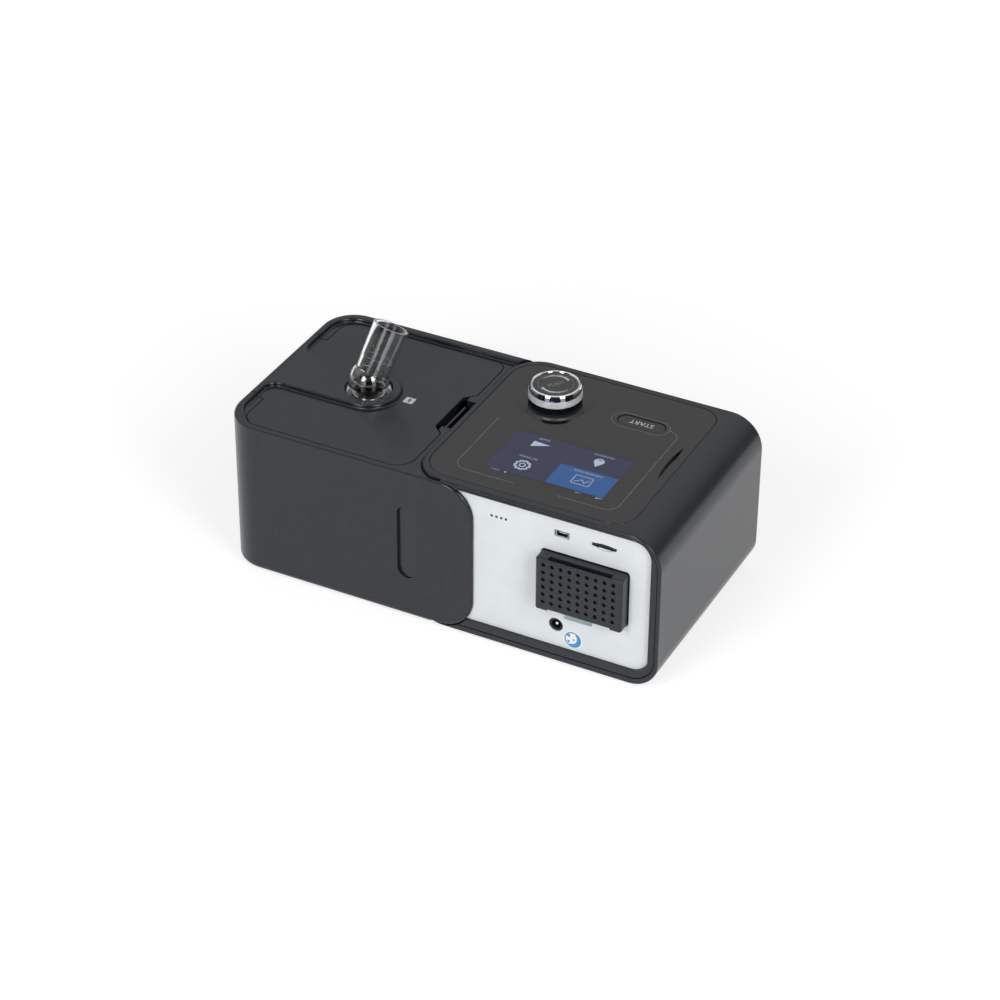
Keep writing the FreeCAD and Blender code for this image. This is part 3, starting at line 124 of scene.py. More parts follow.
def polishedAbs(name, tint, roughness):
    # ABS from a polished tool: near-black and glossy, with faint moulding swirls
    rough = [roughness * share for share in polishedLook["roughSpread"]]
    return patchyMaterial(name, polishedLook, tint, rough, IOR=polishedLook["ior"])


satinLook = {"ior": 1.52, "tintMm": 12.0, "roughMm": 2.5, "grainMm": 0.5, "reliefMm": 0.008,
             "tint": ("#E3E8EB", "#E7ECEF"), "rough": (0.42, 0.5)}


def satinWhiteAbs():
    # white ABS with a fine satin grain: bright and even, with no clear mirror image
    return patchyMaterial("satin_white_abs", satinLook, satinLook["tint"], satinLook["rough"], IOR=satinLook["ior"])


coverLook = {"ior": 1.47, "tintMm": 30.0, "roughMm": 24.0, "tint": ("#0C0B0B", "#100E0E"), "rough": (0.02, 0.035)}


def bondedGlass():
    # cover glass bonded to the display: near-black and flat, with one sharp reflection and none below it
    return patchyMaterial("bonded_cover_glass", coverLook, coverLook["tint"], coverLook["rough"],
                          IOR=coverLook["ior"])


displayLook = {
    "ior": 1.46, "roughness": 0.03, "mask": "#050507",
    "rowMm": 1.508, "rowShade": 0.85,   # the true rows are near 0.2 mm, too fine to show
}


def litDisplay(name, code, strength=1.0):
    # backlit liquid crystal under bonded glass: its colour comes from inside, cut by the black pixel mask
    material, tree, shader, place = newMaterial(name, IOR=displayLook["ior"], Roughness=displayLook["roughness"])
    shader.inputs["Base Color"].default_value = linear(displayLook["mask"])
    scale = texture["waveUnit"] / (displayLook["rowMm"] * mm)
    rows = addNode(tree, "ShaderNodeTexWave", {"Scale": scale, "Distortion": 0.0}, {"Vector": place},
                   wave_type="BANDS", bands_direction="Y")
    shade = addNode(tree, "ShaderNodeMapRange", {"To Min": displayLook["rowShade"], "To Max": 1.0},
                    {"Value": rows.outputs["Fac"]})
    tint = addNode(tree, "ShaderNodeMix", {6: (0.0, 0.0, 0.0, 1.0), 7: linear(code)},
                   {0: shade.outputs["Result"]}, data_type="RGBA")
    tree.links.new(tint.outputs[2], shader.inputs["Emission Color"])
    shader.inputs["Emission Strength"].default_value = strength
    return material


chromeLook = {"colour": "#D9DCDF", "roughMm": 4.0, "rough": (0.03, 0.07),
              "grainMm": 6.0, "reliefMm": 0.004, "strength": 0.5}


def chromePlate():
    # bright chrome over nickel: a full mirror with the slightest waviness
    material, tree, shader, place = newMaterial("bright_chrome_plate", Metallic=1.0)
    shader.inputs["Base Color"].default_value = linear(chromeLook["colour"])
    mottle(tree, place, shader.inputs["Roughness"], chromeLook["roughMm"], *chromeLook["rough"])
    grain(tree, shader, place, chromeLook)
    return material


lacquerLook = {"metallic": 0.25, "tintMm": 1.6, "roughMm": 1.0, "grainMm": 0.4, "reliefMm": 0.02,
               "tint": ("#E0E3E5", "#ECEEEF"), "rough": (0.34, 0.44)}


def silverLacquer():
    # silver lacquer with fine flakes: light grey and evenly frosted, lit from every side
    return patchyMaterial("satin_silver_lacquer", lacquerLook, lacquerLook["tint"], lacquerLook["rough"],
                          Metallic=lacquerLook["metallic"])


capLook = {
    "ior": 1.5, "colour": "#2A2B2E", "roughMm": 2.0, "rough": (0.16, 0.24),
    "turnMm": 2.2, "strength": 0.35, "reliefMm": 0.004,   # the true pitch is near 0.1 mm, too fine to show
}


def turnedBlackCap(centreMm):
    # black anodised aluminium disc: fine turned rings catch a soft fan of light
    material, tree, shader, place = newMaterial("turned_black_anodised", IOR=capLook["ior"])
    shader.inputs["Base Color"].default_value = linear(capLook["colour"])
    shift = addNode(tree, "ShaderNodeVectorMath", {1: tuple(-c * mm for c in centreMm)}, {0: place}, operation="ADD")
    scale = texture["waveUnit"] / (capLook["turnMm"] * mm)
    rings = addNode(tree, "ShaderNodeTexWave", {"Scale": scale, "Distortion": 0.0},
                    {"Vector": shift.outputs["Vector"]}, wave_type="RINGS", rings_direction="Z")
    bump = addNode(tree, "ShaderNodeBump", {"Strength": capLook["strength"], "Distance": capLook["reliefMm"] * mm},
                   {"Height": rings.outputs["Fac"]})
    tree.links.new(bump.outputs["Normal"], shader.inputs["Normal"])
    mottle(tree, place, shader.inputs["Roughness"], capLook["roughMm"], *capLook["rough"])
    return material


clearLook = {"ior": 1.57, "colour": "#FAFBFB", "roughMm": 8.0, "rough": (0.02, 0.05),
             "grainMm": 7.0, "reliefMm": 0.03, "strength": 0.6, "stretch": (1.0, 1.0, 0.4)}


def clearPolycarbonate():
    # injection-moulded polycarbonate: water-clear with bright edges and weak flow lines
    material, tree, shader, place = newMaterial("clear_polycarbonate", IOR=clearLook["ior"], Transmission_Weight=1.0)
    shader.inputs["Base Color"].default_value = linear(clearLook["colour"])
    mottle(tree, place, shader.inputs["Roughness"], clearLook["roughMm"], *clearLook["rough"])
    grain(tree, shader, place, clearLook)
    return material


rubberLook = {"ior": 1.48, "tintMm": 2.2, "roughMm": 1.2, "grainMm": 0.5, "reliefMm": 0.02,
              "roughSpread": (0.9, 1.15)}


def mouldedRubber(name, tint, roughness):
    # vulcanised rubber or silicone: matt, a little dusty
    rough = [min(1.0, roughness * share) for share in rubberLook["roughSpread"]]
    return patchyMaterial(name, rubberLook, tint, rough, IOR=rubberLook["ior"])


metalLook = {"tintMm": 2.5, "roughMm": 1.4, "reliefMm": 0.01}


def workedMetal(name, tint, rough, **wear):
    # plain metal as it left the press or the lathe: streaked, with small dull patches
    return patchyMaterial(name, {**metalLook, **wear}, tint, rough, Metallic=1.0)


boardLook = {"ior": 1.55, "tintMm": 5.0, "roughMm": 2.0, "tint": ("#0F3B22", "#16502E"), "rough": (0.22, 0.34),
             "weaveMm": 0.8, "strength": 0.3, "reliefMm": 0.01}


def glassFibreBoard():
    # green solder mask over glass cloth: shiny, with the weave just showing
    material, tree, shader, place = newMaterial("solder_mask_on_glass_cloth", IOR=boardLook["ior"])
    dark, light = (linear(code) for code in boardLook["tint"])
    mottle(tree, place, shader.inputs["Base Color"], boardLook["tintMm"], dark, light)
    mottle(tree, place, shader.inputs["Roughness"], boardLook["roughMm"], *boardLook["rough"])
    scale = texture["waveUnit"] / (boardLook["weaveMm"] * mm)
    weave = addNode(tree, "ShaderNodeTexWave", {"Scale": scale, "Distortion": 0.0}, {"Vector": place},
                    bands_direction="DIAGONAL")
    bump = addNode(tree, "ShaderNodeBump",
                   {"Strength": boardLook["strength"], "Distance": boardLook["reliefMm"] * mm},
                   {"Height": weave.outputs["Fac"]})
    tree.links.new(bump.outputs["Normal"], shader.inputs["Normal"])
    return material


foamLook = {"ior": 1.45, "roughness": 0.95, "strength": 0.8, "reliefMm": 0.2}


def openCellFoam(name, tint, cellMm):
    # open-cell foam or needled felt: the cells in relief, and their colour darker in the low middle of each cell as
    # painted shade of the cell walls
    material, tree, shader, place = newMaterial(name, IOR=foamLook["ior"], Roughness=foamLook["roughness"])
    cells = addNode(tree, "ShaderNodeTexVoronoi", {"Scale": 1 / (cellMm * mm)}, {"Vector": place})
    # darker where the cells sink: painted shade in each cell
    colour = addNode(tree, "ShaderNodeMix", {6: linear(tint[0]), 7: linear(tint[1])},
                     {0: cells.outputs["Distance"]}, data_type="RGBA")
    tree.links.new(colour.outputs[2], shader.inputs["Base Color"])
    bump = addNode(tree, "ShaderNodeBump", {"Strength": foamLook["strength"], "Distance": foamLook["reliefMm"] * mm},
                   {"Height": cells.outputs["Distance"]})
    tree.links.new(bump.outputs["Normal"], shader.inputs["Normal"])
    return material


inkLook = {"ior": 1.5, "tintMm": 0.8, "roughMm": 0.6, "thinShare": 0.86, "roughSpread": (0.9, 1.1)}


def padPrint(name, code, roughness=0.45):
    # pad-printed ink: a thin flat film that follows the grain under it
    material, tree, shader, place = newMaterial(name, IOR=inkLook["ior"])
    full = linear(code)
    thin = tuple(c * inkLook["thinShare"] for c in full[:3]) + (1.0,)
    mottle(tree, place, shader.inputs["Base Color"], inkLook["tintMm"], thin, full)
    rough = [roughness * share for share in inkLook["roughSpread"]]
    mottle(tree, place, shader.inputs["Roughness"], inkLook["roughMm"], *rough)
    return material


knobCentre = (23.3, 41.0, 0.0)   # mm
slateTint, slateRough = ("#1A1E25", "#1E2229"), (0.25, 0.262)
finishes = {
    "housing_dark": sparkErodedAbs("spark_eroded_slate_abs", slateTint, slateRough),
    "humidifier_dark": sparkErodedAbs("spark_eroded_slate_abs_humidifier", slateTint, slateRough),
    "panel_white": satinWhiteAbs(),
    "panel_black_gloss": polishedAbs("polished_black_abs", ("#131519", "#16181C"), 0.035),
    "display_glass": bondedGlass(),
    "display_glow": litDisplay("lcd_background", "#1C1C38", 0.9),
    "knob_satin": silverLacquer(),
    "knob_chrome": chromePlate(),
    "knob_black": turnedBlackCap(knobCentre),
    "clear_plastic": clearPolycarbonate(),
    "rubber_black": mouldedRubber("vulcanised_black_rubber", ("#141415", "#1C1C1D"), 0.75),
    "seal_grey": mouldedRubber("translucent_grey_silicone", ("#7C8084", "#8E9296"), 0.55),
    # the finger notch's sheet: green-grey, standing in for the shade in the recess (painted shade)
    "notch_pad": mouldedRubber("green_grey_notch_painted_shade", ("#9FABAE", "#AAB5B8"), 0.5),
    "steel": workedMetal("zinc_plated_steel", ("#A4A8AB", "#BEC1C3"), (0.28, 0.4),
                         grainMm=1.2, stretch=(1.0, 1.0, 6.0)),
    "heater_aluminium": workedMetal("rolled_aluminium", ("#B9BBBD", "#CCCECF"), (0.3, 0.42),
                                    grainMm=0.9, stretch=(1.0, 8.0, 1.0)),
    "contact_gold": workedMetal("gold_plated_brass", ("#C59A3F", "#D8B056"), (0.2, 0.32), grainMm=1.0),
    "circuit_board": glassFibreBoard(),
    "inner_black": sparkErodedAbs("glass_filled_black_nylon", ("#141516", "#1B1C1D"), (0.5, 0.62)),
    "inner_grey": sparkErodedAbs("moulded_grey_abs", ("#6E7174", "#7A7D80"), (0.45, 0.55)),
    "foam": openCellFoam("open_cell_polyurethane_foam", ("#2B2C2E", "#4A4C4F"), 0.9),
    "filter_felt": openCellFoam("needled_polyester_felt", ("#2E3033", "#606468"), 0.35),
    "card_black": polishedAbs("card_black_abs", ("#0E0F10", "#161718"), 0.3),
}
ink = {
    "white": padPrint("pad_print_white", "#E6E7E8"),
    "grey": padPrint("pad_print_grey", "#8C8F92"),
    "lineGrey": padPrint("pad_print_line_grey", "#77797B"),
    "black": padPrint("pad_print_black", "#161719"),
    "blue": padPrint("printed_vinyl_blue", "#4A9BD6", 0.35),
    "labelWhite": padPrint("printed_vinyl_white", "#FDFEFE", 0.35),
}
for node in nodes.values():
    for place in node.material_slots:
        place.material = finishes[place.material.name.split(".")[0]]
nodes["dc_pin"].material_slots[0].material = finishes["knob_chrome"]  # a plated pin
print("materials:", len(finishes) + len(ink))


# piece makers
def finishPiece(mesh, name, material, body):
    mesh.materials.append(material)
    for face in mesh.polygons:
        face.use_smooth = False
    piece = bpy.data.objects.new(name, mesh)
    scene.collection.objects.link(piece)
    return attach(piece, body)


def meshFrom(work, name):
    bmesh.ops.recalc_face_normals(work, faces=work.faces)
    mesh = bpy.data.meshes.new(name)
    work.to_mesh(mesh)
    work.free()
    return mesh


def slabMesh(name, outlines, thick):  # closed slabs over flat outlines, lowest face at zero, all in mm
    work = bmesh.new()
    for outline in outlines:
        low = [work.verts.new((x * mm, y * mm, 0)) for x, y in outline]
        high = [work.verts.new((x * mm, y * mm, thick * mm)) for x, y in outline]
        work.faces.new(list(reversed(low)))
        work.faces.new(high)
        for i, point in enumerate(low):
            after = (i + 1) % len(low)
            work.faces.new((point, low[after], high[after], high[i]))
    return meshFrom(work, name)


ribbonLimits = {"shortest": 1e-9, "sharpest": 0.5}   # least step between points, and cosine at which a mitre stops


def ribbonSpot(points, closed, i):  # the point, the way across the ribbon there, and how far its corner spreads
    count = len(points)
    here = Vector(points[i])
    before = Vector(points[i - 1] if i or closed else points[i])
    after = Vector(points[(i + 1) % count] if i < count - 1 or closed else points[i])
    steps = [here - before, after - here]
    inward, outward = (step.normalized() if step.length > ribbonLimits["shortest"] else None for step in steps)
    along = ((inward or outward) + (outward or inward)).normalized()
    across = Vector((-along.y, along.x))
    spread = 1.0
    if inward and outward:
        spread = 1 / max(ribbonLimits["sharpest"], abs(across.dot(Vector((-inward.y, inward.x)))))
    return here, across, spread


def ribbonMesh(name, lines, width, thick):  # flat bands along lines of (points, closed), all in mm
    work = bmesh.new()
    for points, closed in lines:
        rows = []
        for i in range(len(points)):
            here, across, spread = ribbonSpot(points, closed, i)
            reach = width / 2 * spread
            row = []
            for sign, level in ((-1, 0), (1, 0), (1, thick), (-1, thick)):
                spot = here + across * reach * sign
                row.append(work.verts.new((spot.x * mm, spot.y * mm, level * mm)))
            rows.append(row)
        for i in range(len(rows) if closed else len(rows) - 1):
            first, second = rows[i], rows[(i + 1) % len(rows)]
            for k in range(4):
                work.faces.new((first[k], first[(k + 1) % 4], second[(k + 1) % 4], second[k]))
        if not closed:
            work.faces.new(rows[0])
            work.faces.new(list(reversed(rows[-1])))
    return meshFrom(work, name)


def arcPoints(centre, radius, start, stop, steps):  # degrees, counter-clockwise from +X
    angles = [math.radians(start + (stop - start) * i / steps) for i in range(steps + 1)]
    return [(centre[0] + radius * math.cos(a), centre[1] + radius * math.sin(a)) for a in angles]


def circle(radius, count, centre=(0, 0)):
    return arcPoints(centre, radius, 0, 360 - 360 / count, count - 1)


def roundedBox(centre, length, width, radius, steps=6):
    points = []
    for start, sx, sy in ((0, 1, 1), (90, -1, 1), (180, -1, -1), (270, 1, -1)):
        corner = (centre[0] + sx * (length / 2 - radius), centre[1] + sy * (width / 2 - radius))
        points += arcPoints(corner, radius, start, start + 90, steps)
    return points


def rect(x0, x1, y0, y1):
    return [(x0, y0), (x1, y0), (x1, y1), (x0, y1)]


lettering = {"curveSteps": 4, "extrude": 0.02}


def wordMesh(name, words, capHeight, thick):  # centred, sizes in mm
    curve = bpy.data.curves.new(name + "_curve", "FONT")
    curve.body = words
    curve.align_x = "CENTER"
    curve.resolution_u = lettering["curveSteps"]
    curve.extrude = lettering["extrude"]
    carrier = bpy.data.objects.new(name + "_carrier", curve)
    scene.collection.objects.link(carrier)
    bpy.context.view_layer.update()
    mesh = bpy.data.meshes.new_from_object(carrier.evaluated_get(bpy.context.evaluated_depsgraph_get()))
    bpy.data.objects.remove(carrier)
    heights = [v.co.y for v in mesh.vertices]
    middle = (max(heights) + min(heights)) / 2
    grow = capHeight * mm / (max(heights) - min(heights))
    for v in mesh.vertices:
        level = thick * mm if v.co.z > 0 else 0.0
        v.co = Vector((v.co.x * grow, (v.co.y - middle) * grow, level))
    mesh.name = name
    return mesh


def placeFlat(mesh, x, y, z, turn=0.0):  # lies flat, facing up
    mesh.transform(Matrix.Translation((x * mm, y * mm, z * mm)) @ Matrix.Rotation(math.radians(turn), 4, "Z"))
    return mesh


def placeOnRear(mesh, x, y, z):  # stands on a face that looks to -Y, read from behind
    mesh.transform(Matrix.Translation((x * mm, y * mm, z * mm)) @ Matrix.Rotation(math.radians(90), 4, "X"))
    return mesh


# picture on the display, mm
display = {
    "left": 19.6, "right": 95.5, "near": -44.3, "far": -1.5,
    "tileSplitX": 58.2, "tileSplitY": -22.0,
    "tileInset": (0.25, 0.5),    # from the right and from the near edge
    "rimLine": 0.35, "dividerLine": 0.3, "dividerInset": 0.3,
    "layer": 0.03,               # the layers of the picture lie this far apart
    "statusDrop": 1.0,           # from the near edge to the small words
    "barCount": 4, "barLeft": 91.5, "barPitch": 1.1, "barWidth": 0.7,
    "barTop": 0.4, "barLowest": 0.5, "barStep": 0.3,
    "dot": (32.6, 33.8, 1.6, 0.5),   # left, right, and how far its two ends lie beyond the near edge
}
lit = {
    "purple": litDisplay("lcd_purple", "#14153C"),
    "purpleLight": litDisplay("lcd_purple_light", "#24264E"),
    "blue": litDisplay("lcd_blue", "#064A8A"),
    "icon": litDisplay("lcd_icon", "#8A98AC"),
    "pale": litDisplay("lcd_icon_pale", "#A6B6C8"),
}
labels = {   # words, height, x, y
    "screen_word_settings": ("SETTINGS", 1.9, 38.5, -25.4),
    "screen_word_ramp": ("RAMP", 1.9, 38.4, -3.9),
    "screen_word_humidity": ("HUMIDITY", 1.9, 77.5, -3.7),
    "screen_word_information": ("INFORMATION", 1.9, 77.0, -24.5),
    "screen_word_level": ("LEVEL 3", 1.2, 26.5, display["near"] - display["statusDrop"]),
    "screen_clock": ("12:00", 1.2, 80.3, display["near"] - display["statusDrop"]),
}
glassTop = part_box("display_window")[1].z / mm


def showPicture(mesh, name, tone, layer, x=0.0, y=0.0, turn=0.0):
    placeFlat(mesh, x, y, glassTop + layer * display["layer"], turn)
    return finishPiece(mesh, name, lit[tone], "main_unit")


def pictureSlab(name, outlines, tone, layer):
    return showPicture(slabMesh(name, outlines, display["layer"]), name, tone, layer)


def pictureLine(name, lines, width, tone, layer):
    return showPicture(ribbonMesh(name, lines, width, display["layer"]), name, tone, layer)


def drawTiles():
    left, right, near, far = (display[side] for side in ("left", "right", "near", "far"))
    splitX, splitY, inset = display["tileSplitX"], display["tileSplitY"], display["dividerInset"]
    pictureSlab("screen_field", [rect(left, right, near, far)], "purple", 0)
    rims = [([(left, far), (left, near), (right, near), (right, far)], True)]
    pictureLine("screen_rim", rims, display["rimLine"], "purpleLight", 1)
    fromRight, fromNear = display["tileInset"]
    pictureSlab("screen_tile_blue", [rect(splitX, right - fromRight, near + fromNear, splitY)], "blue", 2)
    pictureLine("screen_divider", [([(left + inset, splitY), (splitX - inset, splitY)], False)],
                display["dividerLine"], "purpleLight", 2)


gear = {"x": 38.8, "y": -34.2, "teeth": 9, "tipRadius": 4.7, "footRadius": 3.8, "rimLine": 1.0,
        "tip": (-9, 9), "foot": (14, 26),   # degrees from the middle of a tooth
        "hubRadius": 1.75, "hub": (0, 345, 22), "hubLine": 0.8}   # from and to degrees, steps


def drawGear():
    centre = (gear["x"], gear["y"])
    outer = []
    for i in range(gear["teeth"]):
        turn = 360 / gear["teeth"] * i
        outer += arcPoints(centre, gear["tipRadius"], turn + gear["tip"][0], turn + gear["tip"][1], 2)
        outer += arcPoints(centre, gear["footRadius"], turn + gear["foot"][0], turn + gear["foot"][1], 2)
    pictureLine("screen_gear_rim", [(outer, True)], gear["rimLine"], "pale", 3)
    hub = arcPoints(centre, gear["hubRadius"], *gear["hub"])
    pictureLine("screen_gear_hub", [(hub, True)], gear["hubLine"], "pale", 3)


wedge = {"x": 33.6, "y": -13.8, "length": 10.8, "tipRise": 5.3, "rise": 6.2}
drop = {"x": 77.2, "y": -10.4, "radius": 3.2, "head": (-25, 205), "tail": 6.0,
        "shineRadius": 1.7, "shine": (50, 130), "shineLine": 0.7}
chart = {"x": 77.0, "y": -33.0, "length": 11.4, "width": 8.6, "corner": 0.8, "line": 0.7,
         "curve": ((4.4, 1.8), (1.8, -1.9), (-0.4, 0.8), (-4.3, -2.6))}


def drawIcons():
    x, y = wedge["x"], wedge["y"]
    corners = [(x, y), (x + wedge["length"], y + wedge["tipRise"]), (x, y + wedge["rise"])]
    pictureSlab("screen_ramp_wedge", [corners], "pale", 3)
    x, y = drop["x"], drop["y"]
    pictureSlab("screen_drop", [arcPoints((x, y), drop["radius"], *drop["head"], 20) + [(x, y - drop["tail"])]],
                "pale", 3)
    pictureLine("screen_drop_shine", [(arcPoints((x, y), drop["shineRadius"], *drop["shine"], 8), False)],
                drop["shineLine"], "purple", 4)
    x, y = chart["x"], chart["y"]
    frameLine = roundedBox((x, y), chart["length"], chart["width"], chart["corner"], 3)
    pictureLine("screen_chart_frame", [(frameLine, True)], chart["line"], "icon", 3)
    curve = [(x + dx, y + dy) for dx, dy in chart["curve"]]
    pictureLine("screen_chart_curve", [(curve, False)], chart["line"], "icon", 3)


def writeStatus():
    for name, (words, height, x, y) in labels.items():
        showPicture(wordMesh(name, words, height, display["layer"]), name, "icon", 3, x, y, 180)
    near, count = display["near"], display["barCount"]
    bars = []
    for i in range(count):
        start = display["barLeft"] + i * display["barPitch"]
        reach = display["barLowest"] + display["barStep"] * (count - i)
        bars.append(rect(start, start + display["barWidth"], near - reach, near - display["barTop"]))
    left, right, low, high = display["dot"]
    pictureSlab("screen_signal_bars", bars + [rect(left, right, near - low, near - high)], "pale", 3)


drawTiles()
drawGear()
drawIcons()
writeStatus()
print("display drawn")


# printing on the control panel and the keys, mm
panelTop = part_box("control_panel")[1].z / mm
printing = {
    "thick": 0.05, "line": 0.42, "ringLine": 0.357, "capLine": 0.35,
    "ringX": 81.3, "ringY": 38.3, "ringLength": 37.0, "ringWidth": 15.0, "ringFlat": 0.02, "ringSteps": 14,
    "lineLeft": 3.0, "leftEnd": 6.0, "lineNear": -53.5, "lineRight": 107.2, "rightEnd": 28.0,
    "cornerRadius": 8.0, "cornerTrim": 7, "cornerSteps": 9,
    "gapStart": 43.0, "gapEnd": 71.0,
    "ringJoin": ((107.6, 31.5), (107.0, 34.2), (105.4, 36.6), (102.8, 38.6), (99.6, 39.6)),
    "startX": 81.8, "startY": 38.8, "startHeight": 3.7, "startTurn": 180,
    "pushHeight": 3.1, "pushTurn": 53.0,
    "capRing": 10.6, "capPoints": 72,
    # white crescents on the knob cap are painted highlights; arrowThick is their widest
    "highlightOuter": 9.7, "highlightThin": 0.25, "arrowThick": 1.5, "highlightSteps": 24,
    "capHighlights": ((168.0, 54.0), (346.0, 232.0)),   # degrees from +X, thin end and thick end of each painted highlight
}


def printPanel():
    left, near, right = printing["lineLeft"], printing["lineNear"], printing["lineRight"]
    radius, trim, steps = printing["cornerRadius"], printing["cornerTrim"], printing["cornerSteps"]
    first = [(left, printing["leftEnd"]), (left, near + radius)]
    first += arcPoints((left + radius, near + radius), radius, 180 + trim, 270 - trim, steps)
    first += [(left + radius, near), (printing["gapStart"], near)]
    second = [(printing["gapEnd"], near), (right - radius, near)]
    second += arcPoints((right - radius, near + radius), radius, 270 + trim, 360 - trim, steps)
    second += [(right, near + radius), (right, printing["rightEnd"])]
    second += printing["ringJoin"]
    lines = ribbonMesh("control_panel_lines", [(first, False), (second, False)], printing["line"], printing["thick"])
    finishPiece(placeFlat(lines, 0, 0, panelTop), "control_panel_lines", ink["lineGrey"], "main_unit")
    outline = roundedBox((printing["ringX"], printing["ringY"]), printing["ringLength"], printing["ringWidth"],
                         printing["ringWidth"] / 2 - printing["ringFlat"], printing["ringSteps"])
    ring = ribbonMesh("start_ring", [(outline, True)], printing["ringLine"], printing["thick"])
    finishPiece(placeFlat(ring, 0, 0, panelTop), "start_ring", ink["lineGrey"], "main_unit")


def capHighlight(centre, start, stop):  # an arc that swells from a hairline to a thick end: a painted highlight on the cap
    steps, radius = printing["highlightSteps"], printing["highlightOuter"]
    inner = []
    for i in range(steps + 1):
        share = i / steps
        wide = printing["highlightThin"] + (printing["arrowThick"] - printing["highlightThin"]) * share
        angle = math.radians(start + (stop - start) * share)
        inner.append((centre[0] + (radius - wide) * math.cos(angle), centre[1] + (radius - wide) * math.sin(angle)))
    return arcPoints(centre, radius, start, stop, steps) + list(reversed(inner))


def printKeys():
    thick = printing["thick"]
    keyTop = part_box("start_button")[1].z / mm
    word = wordMesh("start_word", "START", printing["startHeight"], thick)
    placeFlat(word, printing["startX"], printing["startY"], keyTop, printing["startTurn"])
    finishPiece(word, "start_word", ink["white"], "start_key")
    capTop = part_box("knob_cap")[1].z / mm
    word = wordMesh("push_word", "PUSH", printing["pushHeight"], thick)
    placeFlat(word, knobCentre[0], knobCentre[1], capTop, printing["pushTurn"])
    finishPiece(word, "push_word", ink["grey"], "knob")
    outline = circle(printing["capRing"], printing["capPoints"], knobCentre)
    ring = ribbonMesh("push_ring", [(outline, True)], printing["capLine"], thick)
    finishPiece(placeFlat(ring, 0, 0, capTop), "push_ring", ink["grey"], "knob")
    # two white crescents on the cap: painted highlights
    highlights = slabMesh("push_cap_highlights", [capHighlight(knobCentre, *ends) for ends in printing["capHighlights"]], thick)
    finishPiece(placeFlat(highlights, 0, 0, capTop), "push_cap_highlights", ink["white"], "knob")


printPanel()
printKeys()
print("printing on the panel and keys")


# square mark on the lid, mm
lidSquare = {
    "x": -54.8, "y": 0.2, "size": 6.3, "corner": 0.35, "thick": 0.05, "arrowThick": 0.04,
    "arrow": ((-0.55, -1.9), (0.55, -1.9), (0.55, 0.5), (1.3, 0.5), (0, 2.0), (-1.3, 0.5), (-0.55, 0.5)),
}


def lidMark():
    x, y, size, thick = (lidSquare[key] for key in ("x", "y", "size", "thick"))
    _, spot, _, _ = nodes["lid"].ray_cast(Vector((x * mm, y * mm, 1.0)), Vector((0, 0, -1)))
    top = spot.z / mm
    square = slabMesh("lid_mark", [roundedBox((x, y), size, size, lidSquare["corner"], 2)], thick)
    finishPiece(placeFlat(square, 0, 0, top), "lid_mark", ink["white"], "lid")
    arrow = [(x + dx, y + dy) for dx, dy in lidSquare["arrow"]]
    glyph = slabMesh("lid_mark_arrow", [arrow], lidSquare["arrowThick"])
    finishPiece(placeFlat(glyph, 0, 0, top + thick), "lid_mark_arrow", ink["black"], "lid")


# blue and white disc beside the power inlet, with plain shapes on it, mm
disc = {
    "x": 89.9, "z": 19.0, "radius": 6.3, "points": 48, "thick": 0.06,
    "ringInset": 1.3, "ringLine": 0.8, "printThick": 0.04,
    "crescentOuter": ((0, 0), 4.7, -120, 60, 30),      # centre, radius, from and to degrees, steps
    "crescentInner": ((-1.4, 0.9), 4.1, 45, -100, 26),
    "dotCentre": (-2.7, 2.5), "dotRadius": 1.1, "dotPoints": 12,
    "wedges": (((-4.0, -1.2), (-1.7, -0.9), (-2.6, -3.2)), ((0.0, -0.7), (1.6, 0.1), (0.0, 0.9))),
}
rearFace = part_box("rear_panel")[0].y / mm


def socketDisc():
    x, z, radius, thick = (disc[key] for key in ("x", "z", "radius", "thick"))
    plate = slabMesh("socket_disc", [circle(radius, disc["points"])], thick)
    finishPiece(placeOnRear(plate, x, rearFace, z), "socket_disc", ink["labelWhite"], "main_unit")
    outline = circle(radius - disc["ringInset"], disc["points"])
    ring = ribbonMesh("socket_disc_ring", [(outline, True)], disc["ringLine"], disc["printThick"])
    finishPiece(placeOnRear(ring, x, rearFace - thick, z), "socket_disc_ring", ink["blue"], "main_unit")
    crescent = arcPoints(*disc["crescentOuter"]) + arcPoints(*disc["crescentInner"])
    shapes = [crescent, circle(disc["dotRadius"], disc["dotPoints"], disc["dotCentre"]), *disc["wedges"]]
    glyph = slabMesh("socket_disc_glyph", shapes, disc["printThick"])
    finishPiece(placeOnRear(glyph, x, rearFace - thick, z), "socket_disc_glyph", ink["blue"], "main_unit")


# black discs on the vent holes as painted shade, card reader, and a green-grey sheet in the finger notch as painted
# recess shade, on the white panel, mm
vents = {"first": 36.1, "pitch": 3.1, "count": 4, "z": 90.3, "radius": 0.85, "points": 12, "thick": 0.04}
reader = {"x": 108.35, "z": 91.2, "half": 7.7, "slitHalf": 6.45, "gap": 0.92, "lip": 0.15, "depth": 1.25,
          "proud": 0.04}
notch = {"x": 92.9, "z": 37.3, "length": 16.6, "height": 11.8, "corner": 1.0, "face": -67.45, "thick": 0.4}


